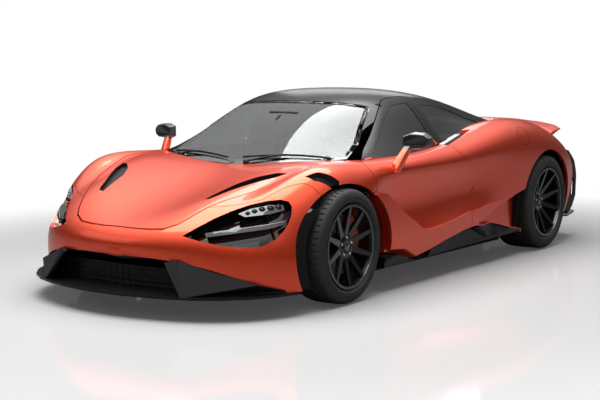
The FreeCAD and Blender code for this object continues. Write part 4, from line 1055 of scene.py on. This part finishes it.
def model_fuel_flap():
    bpy.ops.mesh.primitive_torus_add(location=flap_centre, rotation=(0, flap_lean, 0),
                                     **flap_line)
    ring = bpy.context.object
    settle(ring)
    use_modifier(ring, "SHRINKWRAP", target=nodes["quarter_left"], offset=0.0001,
                 wrap_method="NEAREST_SURFACEPOINT", wrap_mode="OUTSIDE_SURFACE")
    finish_piece(ring, "fuel_flap_line", rough_black, "body")


# Mirrors: the head is rounded, its stem is lacquered, and its glass faces back
mirror_head_foot = 0.842
mirror_head_inner = 0.904
mirror_glass_outline = ((0.920, 0.862), (0.926, 0.918), (0.962, 0.934), (1.036, 0.930),
                        (1.070, 0.902), (1.066, 0.870), (1.030, 0.850), (0.952, 0.848))
mirror_glass_inner = (0.92, -0.5795)
mirror_glass_lean = 0.075
mirror_glass_thickness = 0.002


def model_mirror(side, way):
    node_name, body = f"mirror_{side}", f"door_{side}"
    form = soft_copy(node_name, voxel=0.0045, rounds=7)
    finish_piece(form, f"mirror_form_{side}", gloss_black, body, 60)
    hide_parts(node_name)
    form.data.materials.append(lacquer)
    for face in form.data.polygons:
        on_head = (face.center.z >= mirror_head_foot
                   and abs(face.center.x) >= mirror_head_inner)
        face.material_index = 0 if on_head else 1
    inner_x, inner_y = mirror_glass_inner
    outline = [(way * x, inner_y + (x - inner_x) * mirror_glass_lean, z)
               for x, z in mirror_glass_outline]
    glass = plate(outline, (0, mirror_glass_thickness, 0))
    finish_piece(glass, f"mirror_glass_{side}", bright_metal, body)


# Doors: black above the waist, trimmed inside. The waist's points are (y, x, z)
waist = ((-1.10, 0.800, 0.770), (-0.80, 0.760, 0.789), (-0.63, 0.781, 0.792),
         (-0.37, 0.790, 0.801), (-0.14, 0.771, 0.837), (0.004, 0.760, 0.855),
         (0.45, 0.700, 0.915))
door_trim_outer = 0.86
door_rest_box = ((0.742, -0.560, 0.520), (0.800, -0.080, 0.566))
door_pull_line = ((0.770, -0.640, 0.600), (0.752, -0.600, 0.640), (0.752, -0.500, 0.668),
                  (0.772, -0.440, 0.690))
door_pull_radius = 0.009


def waist_at(y):
    y = min(max(y, waist[0][0]), waist[-1][0])
    for (y0, x0, z0), (y1, x1, z1) in zip(waist, waist[1:]):
        if y <= y1:
            share = (y - y0) / (y1 - y0)
            return x0 + (x1 - x0) * share, z0 + (z1 - z0) * share


def paint_door(door, way):
    door.data.materials.append(roof_black)
    door.data.materials.append(black_hide)
    for face in door.data.polygons:
        out = way * face.center.x
        x, z = waist_at(face.center.y)
        if face.center.z > z - 0.006 and out < x + 0.002:
            face.material_index = 1
        elif way * face.normal.x < -0.6 and out < door_trim_outer:
            face.material_index = 2


def trim_door(side, way):
    rest = rounded_box(*door_rest_box, 0.016, 3)
    sink_face(rest, (0, 0, 1), 0.010, 0.012)
    pull = tube(door_pull_line, door_pull_radius)
    for part, name, finish in ((rest, "door_rest", suede), (pull, "door_pull", carbon)):
        if way < 0:
            turn_over(part)
        finish_piece(part, f"{name}_{side}", finish, f"door_{side}", 50)


model_lamp_modules()
model_lamp_fin()
model_side_markers()
model_intake_bars()
for wiper in wipers:
    model_wiper(*wiper)
model_fuel_flap()
for side, way in sides:
    model_mirror(side, way)
for side, way in sides:
    paint_door(nodes[f"door_{side}"], way)
    trim_door(side, way)


# Tail: mesh screens, outlets, plate and lamps on the rear panel
panel_line = ((0.0, 2.240), (0.400, 2.215), (0.700, 2.130))
screen_inner, screen_outer = 0.270, 0.640
screen_foot, screen_top = 0.430, 0.640
screen_pitch = 0.022
screen_bar_radius, screen_rim_radius = 0.0016, 0.004
reflector_at, reflector_half, reflector_turn = (0.600, 2.157, 0.277), (0.045, 0.009, 0.009), 15.8
outlet_places = (-0.190, -0.075, 0.075, 0.190)
outlet_height = 0.590
# Outlet tip and bore: each point as (place along the car, radius)
tip_points = ((2.262, 0.0405), (2.262, 0.0465), (2.276, 0.0470), (2.281, 0.0445),
              (2.279, 0.0415))
bore_points = ((2.085, 0.012), (2.085, 0.0395), (2.276, 0.0402))
bore_wall = 0.0006
plate_box = ((-0.262, 2.240, 0.330), (0.262, 2.252, 0.446))
plate_lamp_places = (-0.11, 0.11)
plate_lamp_half = 0.022
plate_lamp_low, plate_lamp_high = (2.238, 0.456), (2.256, 0.466)
fog_lamp_box = ((-0.060, 2.232, 0.232), (0.060, 2.246, 0.258))


def panel_y(x):
    for (x0, y0), (x1, y1) in zip(panel_line, panel_line[1:]):
        if abs(x) <= x1:
            return y0 + (y1 - y0) * (abs(x) - x0) / (x1 - x0)
    return panel_line[-1][1]


def mesh_screen(x0, x1, z0, z1):
    """Bars slanting both ways over a stretch of the rear panel, cut to its outline."""
    bars = []
    height = z1 - z0
    for index in range(1, int((x1 - x0 + height) / screen_pitch)):
        for way in (-1, 1):
            start = index * screen_pitch
            foot = x0 + start if way < 0 else x1 - start
            ends = []
            for x, z in ((foot, z0), (foot + way * height, z1)):
                inside = min(max(x, x0), x1)
                ends.append((inside, panel_y(inside) + 0.002, z + (inside - x) * way))
            if z0 - 0.001 < ends[0][2] < ends[1][2] < z1 + 0.001:
                bars.append(tube(ends, screen_bar_radius, curved=False, bevel_steps=1))
    return join(bars)


def model_tail_screen(side, way):
    low, high = sorted((way * screen_inner, way * screen_outer))
    screen = mesh_screen(low, high, screen_foot, screen_top)
    finish_piece(screen, f"tail_screen_{side}", satin_black, "body", 50)
    corners = ((low, screen_foot), (high, screen_foot), (high, screen_top), (low, screen_top))
    rim = tube([(x, panel_y(x) + 0.003, z) for x, z in corners], screen_rim_radius,
               cyclic=True, curved=False)
    finish_piece(rim, f"tail_screen_rim_{side}", gloss_black, "body", 50)
    x, y, z = reflector_at
    middle, half = Vector((way * x, y, z)), Vector(reflector_half)
    reflector = rounded_box(middle - half, middle + half, 0.004)
    pick(reflector)
    bpy.ops.transform.rotate(value=way * math.radians(reflector_turn), orient_axis="Z",
                             center_override=middle)
    settle(reflector)
    finish_piece(reflector, f"tail_reflector_{side}", red_lens, "body")


def model_outlet(index, x):
    centre = (x, 0, outlet_height)
    tip = turned(tip_points, 40, centre, "Y")
    join_ends(tip)
    finish_piece(tip, f"outlet_tip_{index}", burnt_metal, "body", 40)
    bore = turned(bore_points, 32, centre, "Y")
    use_modifier(bore, "SOLIDIFY", thickness=bore_wall)
    close_up(bore)
    finish_piece(bore, f"outlet_bore_{index}", rough_black, "body", 40)


def model_plate_and_lamps():
    blank = rounded_box(*plate_box, 0.003)
    sink_face(blank, (0, 1, 0), 0.008, 0.002)
    finish_piece(blank, "blank_plate", satin_black, "body")
    lamps = [rounded_box((x - plate_lamp_half, *plate_lamp_low),
                         (x + plate_lamp_half, *plate_lamp_high), 0.003)
             for x in plate_lamp_places]
    finish_piece(join(lamps), "plate_lamps", gloss_black, "body")
    fog = rounded_box(*fog_lamp_box, 0.005)
    finish_piece(fog, "fog_lamp", red_lens, "body")


# Rear deck and engine bay
louvre_count = 6
louvre_start, louvre_pitch = 1.60, 0.062
louvre_half, louvre_taper = 0.360, 0.012
louvre_radius = 0.0075
engine_cover_box = ((-0.235, 0.700, 0.635), (0.235, 1.180, 0.690))
cover_ribs = (-0.16, -0.08, 0.0, 0.08, 0.16)
cover_rib_half = 0.012
cover_rib_low, cover_rib_high = (0.740, 0.678), (1.140, 0.700)


def model_deck_louvres():
    slats = []
    for index in range(louvre_count):
        y = louvre_start + index * louvre_pitch
        half = louvre_half - index * louvre_taper
        line = [met("rear_deck", (half * share, y, 1.3), (0, 0, -1))[0]
                for share in (-1, -0.5, 0, 0.5, 1)]
        slats.append(tube(line, louvre_radius))
    finish_piece(join(slats), "deck_louvres", satin_black, "body", 60)


def model_engine_cover():
    cover = rounded_box(*engine_cover_box, 0.018, 3)
    sink_face(cover, (0, 0, 1), 0.020, 0.008)
    ribs = [rounded_box((x - cover_rib_half, *cover_rib_low),
                        (x + cover_rib_half, *cover_rib_high), 0.006)
            for x in cover_ribs]
    finish_piece(join([cover] + ribs), "engine_cover", carbon, "body")


# Underside: bolt heads and strakes on the floor
floor_bolt_columns, floor_bolt_rows = (-0.42, 0.42), (-1.5, -0.9, -0.3, 0.3, 0.9, 1.5)
floor_bolt_height = 0.105
floor_bolt_radius = 0.007
# Each point as (out, share of the head's radius)
floor_bolt_points = ((-0.003, 1.0), (0.0, 1.0), (0.0018, 0.86), (0.0018, 0.5), (0.0004, 0.46))
strake_places = (-0.62, -0.12, 0.38, 0.88)
strake_half, strake_reach = 0.012, 0.400
strake_foot, strake_top = 0.099, 0.106


def model_underside():
    heads = []
    for x in floor_bolt_columns:
        for y in floor_bolt_rows:
            rings = [(out, floor_bolt_radius * share) for out, share in floor_bolt_points]
            head = capped(rings, 18)
            aim(head, (x, y, floor_bolt_height), (0, 0, -1))
            heads.append(head)
    finish_piece(join(heads), "floor_bolts", bright_metal, "body", 40)
    strakes = [rounded_box((-strake_reach, y - strake_half, strake_foot),
                           (strake_reach, y + strake_half, strake_top), 0.003)
               for y in strake_places]
    finish_piece(join(strakes), "floor_strakes", satin_black, "body")


for side, way in sides:
    model_tail_screen(side, way)
for index, x in enumerate(outlet_places):
    model_outlet(index, x)
model_plate_and_lamps()
model_deck_louvres()
model_engine_cover()
model_underside()


# Brake calipers, lacquered on the uprights that carry them
caliper_spread = 34
caliper_depth = 0.066
caliper_back, caliper_front = -0.168, -0.066


def colour_calipers(size, side, way):
    upright = nodes[f"{size['upright']}_{side}"]
    upright.data.materials.append(caliper_orange)
    for face in upright.data.polygons:
        across = way * face.center.x - size["x"] - size["face"]
        up, back = face.center.z - size["radius"], face.center.y - size["y"]
        reach = math.hypot(back, up)
        angle = math.degrees(math.atan2(up, back))
        around = abs((angle - size["caliper_at"] + 180) % 360 - 180)
        if (around < caliper_spread and reach > size["disc"] - caliper_depth
                and caliper_back < across < caliper_front):
            face.material_index = 1


# Openings: the cut walls of the outlets and vents are black
outlet_plan = ((0.806, -1.512), (0.834, -1.424), (0.906, -1.318), (0.930, -1.370),
               (0.853, -1.489))
vent_plan = ((0.410, -1.850), (0.376, -1.850), (0.400, -1.760), (0.434, -1.618),
             (0.494, -1.516), (0.573, -1.439), (0.627, -1.416), (0.605, -1.495),
             (0.540, -1.613), (0.473, -1.732), (0.436, -1.810))
outlets_above, vents_above = 0.60, 0.55
wall_reach = 0.0015


def near_outline(x, y, outline):
    place = Vector((x, y))
    for start, end in zip(outline, outline[1:] + outline[:1]):
        start, run = Vector(start), Vector(end) - Vector(start)
        share = max(0.0, min(1.0, (place - start).dot(run) / run.dot(run)))
        if (place - start - run * share).length < wall_reach:
            return True
    return False


def blacken_walls(node, outline, low):
    node.data.materials.append(rough_black)
    slot = len(node.data.materials) - 1
    for face in node.data.polygons:
        at = face.center
        if (abs(face.normal.z) < 0.1 and at.z > low
                and near_outline(abs(at.x), at.y, outline)):
            face.material_index = slot


# Skirts as seen: their lower edge rises to the rear, above the floor's edge
skirt_edge_front = 0.146
skirt_edge_slope = 0.014
skirt_front_y = -1.0
wedge_centre = (0, 0.2, 0)
wedge_size = (2.4, 3.2, 0.280)


def trim_skirts():
    skirts = free_copy("skirts")
    deselect()
    bpy.ops.mesh.primitive_cube_add(size=1, location=wedge_centre)
    wedge = bpy.context.object
    wedge.scale = wedge_size
    settle(wedge)
    for vertex in wedge.data.vertices:
        if vertex.co.z > 0:
            vertex.co.z = skirt_edge_front + (vertex.co.y - skirt_front_y) * skirt_edge_slope
    use_modifier(skirts, "BOOLEAN", object=wedge, operation="DIFFERENCE", solver="EXACT")
    bpy.data.objects.remove(wedge)
    close_up(skirts)
    finish_piece(skirts, "skirt_forms", trim_black, "body", 30)
    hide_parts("skirts")


for size in axles.values():
    for side, way in sides:
        colour_calipers(size, side, way)
model_screen_border()
model_inside_mirror()
for side, _ in sides:
    blacken_walls(nodes[f"fender_{side}"], outlet_plan, outlets_above)
blacken_walls(nodes["bonnet"], vent_plan, vents_above)
trim_skirts()


# Floor, lights and camera
def grey(level):
    return (level, level, level, 1)


fade_start, fade_end = 2.5, 5.4
# The surroundings as they light the car: each point as (height, level), from below to above
sky_band = ((0.46, 0.30), (0.53, 0.05), (0.64, 0.10), (0.76, 0.60), (0.88, 1.5))
plain_light = 0.17


def floor_finish():
    """White floor that keeps the shadow and melts into the white backdrop further out."""
    mat, tree, shader = new_material("studio_floor")
    shader.inputs["IOR"].default_value = 1.9
    vary_colour(tree, shader, noise(tree, 0.6), grey(0.76)[:3], grey(0.78)[:3])
    vary_roughness(tree, shader, noise(tree, 4.0), 0.05, 0.08)
    out = tree.nodes["Material Output"]
    below = add_node(tree, "ShaderNodeBsdfDiffuse", Color=grey(0.30))
    path = add_node(tree, "ShaderNodeLightPath")
    lift = add_node(tree, "ShaderNodeEmission", Strength=0.05)
    clear = add_node(tree, "ShaderNodeBsdfTransparent")
    lifted = add_node(tree, "ShaderNodeAddShader")
    seen = add_node(tree, "ShaderNodeMixShader")
    fade = add_node(tree, "ShaderNodeMixShader")
    place = add_node(tree, "ShaderNodeTexCoord")
    shape = add_node(tree, "ShaderNodeMapping", Scale=(1.25, 1.0, 1.0))
    reach = add_node(tree, "ShaderNodeVectorMath", operation="LENGTH")
    edge = add_node(tree, "ShaderNodeMapRange", interpolation_type="SMOOTHSTEP")
    edge.inputs["From Min"].default_value = fade_start
    edge.inputs["From Max"].default_value = fade_end
    tree.links.new(place.outputs["Object"], shape.inputs["Vector"])
    tree.links.new(shape.outputs["Vector"], reach.inputs[0])
    tree.links.new(reach.outputs["Value"], edge.inputs["Value"])
    tree.links.new(shader.outputs["BSDF"], lifted.inputs[0])
    tree.links.new(lift.outputs["Emission"], lifted.inputs[1])
    tree.links.new(path.outputs["Is Camera Ray"], seen.inputs["Fac"])
    tree.links.new(below.outputs["BSDF"], seen.inputs[1])
    tree.links.new(lifted.outputs["Shader"], seen.inputs[2])
    tree.links.new(edge.outputs["Result"], fade.inputs["Fac"])
    tree.links.new(seen.outputs["Shader"], fade.inputs[1])
    tree.links.new(clear.outputs["BSDF"], fade.inputs[2])
    tree.links.new(fade.outputs["Shader"], out.inputs["Surface"])
    return mat


def lay_floor():
    bpy.ops.mesh.primitive_plane_add(size=20, location=(0, 0, -0.0005))
    floor = bpy.context.object
    floor.name = "studio_floor"
    settle(floor)
    floor.data.materials.append(floor_finish())


def light_world():
    """Plain pale surroundings: white where they are seen, softer as light on the car."""
    world = bpy.data.worlds.new("studio")
    bpy.context.scene.world = world
    world.use_nodes = True
    tree = world.node_tree
    shader = tree.nodes["Background"]
    path = add_node(tree, "ShaderNodeLightPath")
    seen = add_node(tree, "ShaderNodeMath", operation="MAXIMUM")
    place = add_node(tree, "ShaderNodeTexCoord")
    height = add_node(tree, "ShaderNodeSeparateXYZ")
    turn = add_node(tree, "ShaderNodeMapRange")
    turn.inputs["From Min"].default_value = -1.0
    band = add_node(tree, "ShaderNodeValToRGB")
    points = band.color_ramp.elements
    points.remove(points[1])
    points[0].position, points[0].color = sky_band[0][0], grey(sky_band[0][1])
    for position, level in sky_band[1:]:
        points.new(position).color = grey(level)
    # The mix nodes' colour inputs are 6 and 7, and their colour output is 2
    lighting = add_node(tree, "ShaderNodeMix", data_type="RGBA")
    lighting.inputs[6].default_value = grey(plain_light)
    final = add_node(tree, "ShaderNodeMix", data_type="RGBA")
    final.inputs[7].default_value = grey(1)
    tree.links.new(place.outputs["Generated"], height.inputs["Vector"])
    tree.links.new(height.outputs["Z"], turn.inputs["Value"])
    tree.links.new(turn.outputs["Result"], band.inputs["Fac"])
    tree.links.new(path.outputs["Is Glossy Ray"], lighting.inputs[0])
    tree.links.new(band.outputs["Color"], lighting.inputs[7])
    tree.links.new(path.outputs["Is Camera Ray"], seen.inputs[0])
    tree.links.new(path.outputs["Is Transmission Ray"], seen.inputs[1])
    tree.links.new(seen.outputs["Value"], final.inputs[0])
    tree.links.new(lighting.outputs[2], final.inputs[6])
    tree.links.new(final.outputs[2], shader.inputs["Color"])


def soft_light(name, place, target, width, height, power):
    bpy.ops.object.light_add(type="AREA", location=place)
    lamp = bpy.context.object
    lamp.name = name
    lamp.data.shape = "RECTANGLE"
    lamp.data.size = width
    lamp.data.size_y = height
    lamp.data.energy = power
    lamp.rotation_euler = (Vector(target) - Vector(place)).to_track_quat("-Z", "Y").to_euler()


def place_camera():
    bpy.ops.object.camera_add()
    camera = bpy.context.object
    camera.matrix_world = Matrix((sight_right, sight_up, -ahead)).transposed().to_4x4()
    camera.location = eye
    camera.data.sensor_width = 36
    camera.data.lens = camera.data.sensor_width * focal_px / picture_size[0]
    bpy.context.scene.camera = camera


# Each light as (name, place, the point it faces, width, height, watts)
lights = (("overhead", (0, -0.5, 4.6), (0, 0, 0.4), 4.4, 7.0, 500),
          ("front_left", (5.5, -5.5, 3.4), (0, 0, 0.5), 3.0, 2.0, 12),
          ("front_right", (-5.0, -6.0, 3.0), (0, -0.8, 0.5), 3.0, 2.0, 16),
          ("behind", (-3.5, 6.0, 3.6), (0, 0, 0.6), 3.0, 2.0, 30))

lay_floor()
light_world()
for light in lights:
    soft_light(*light)
place_camera()
bpy.context.scene.view_settings.view_transform = "Standard"
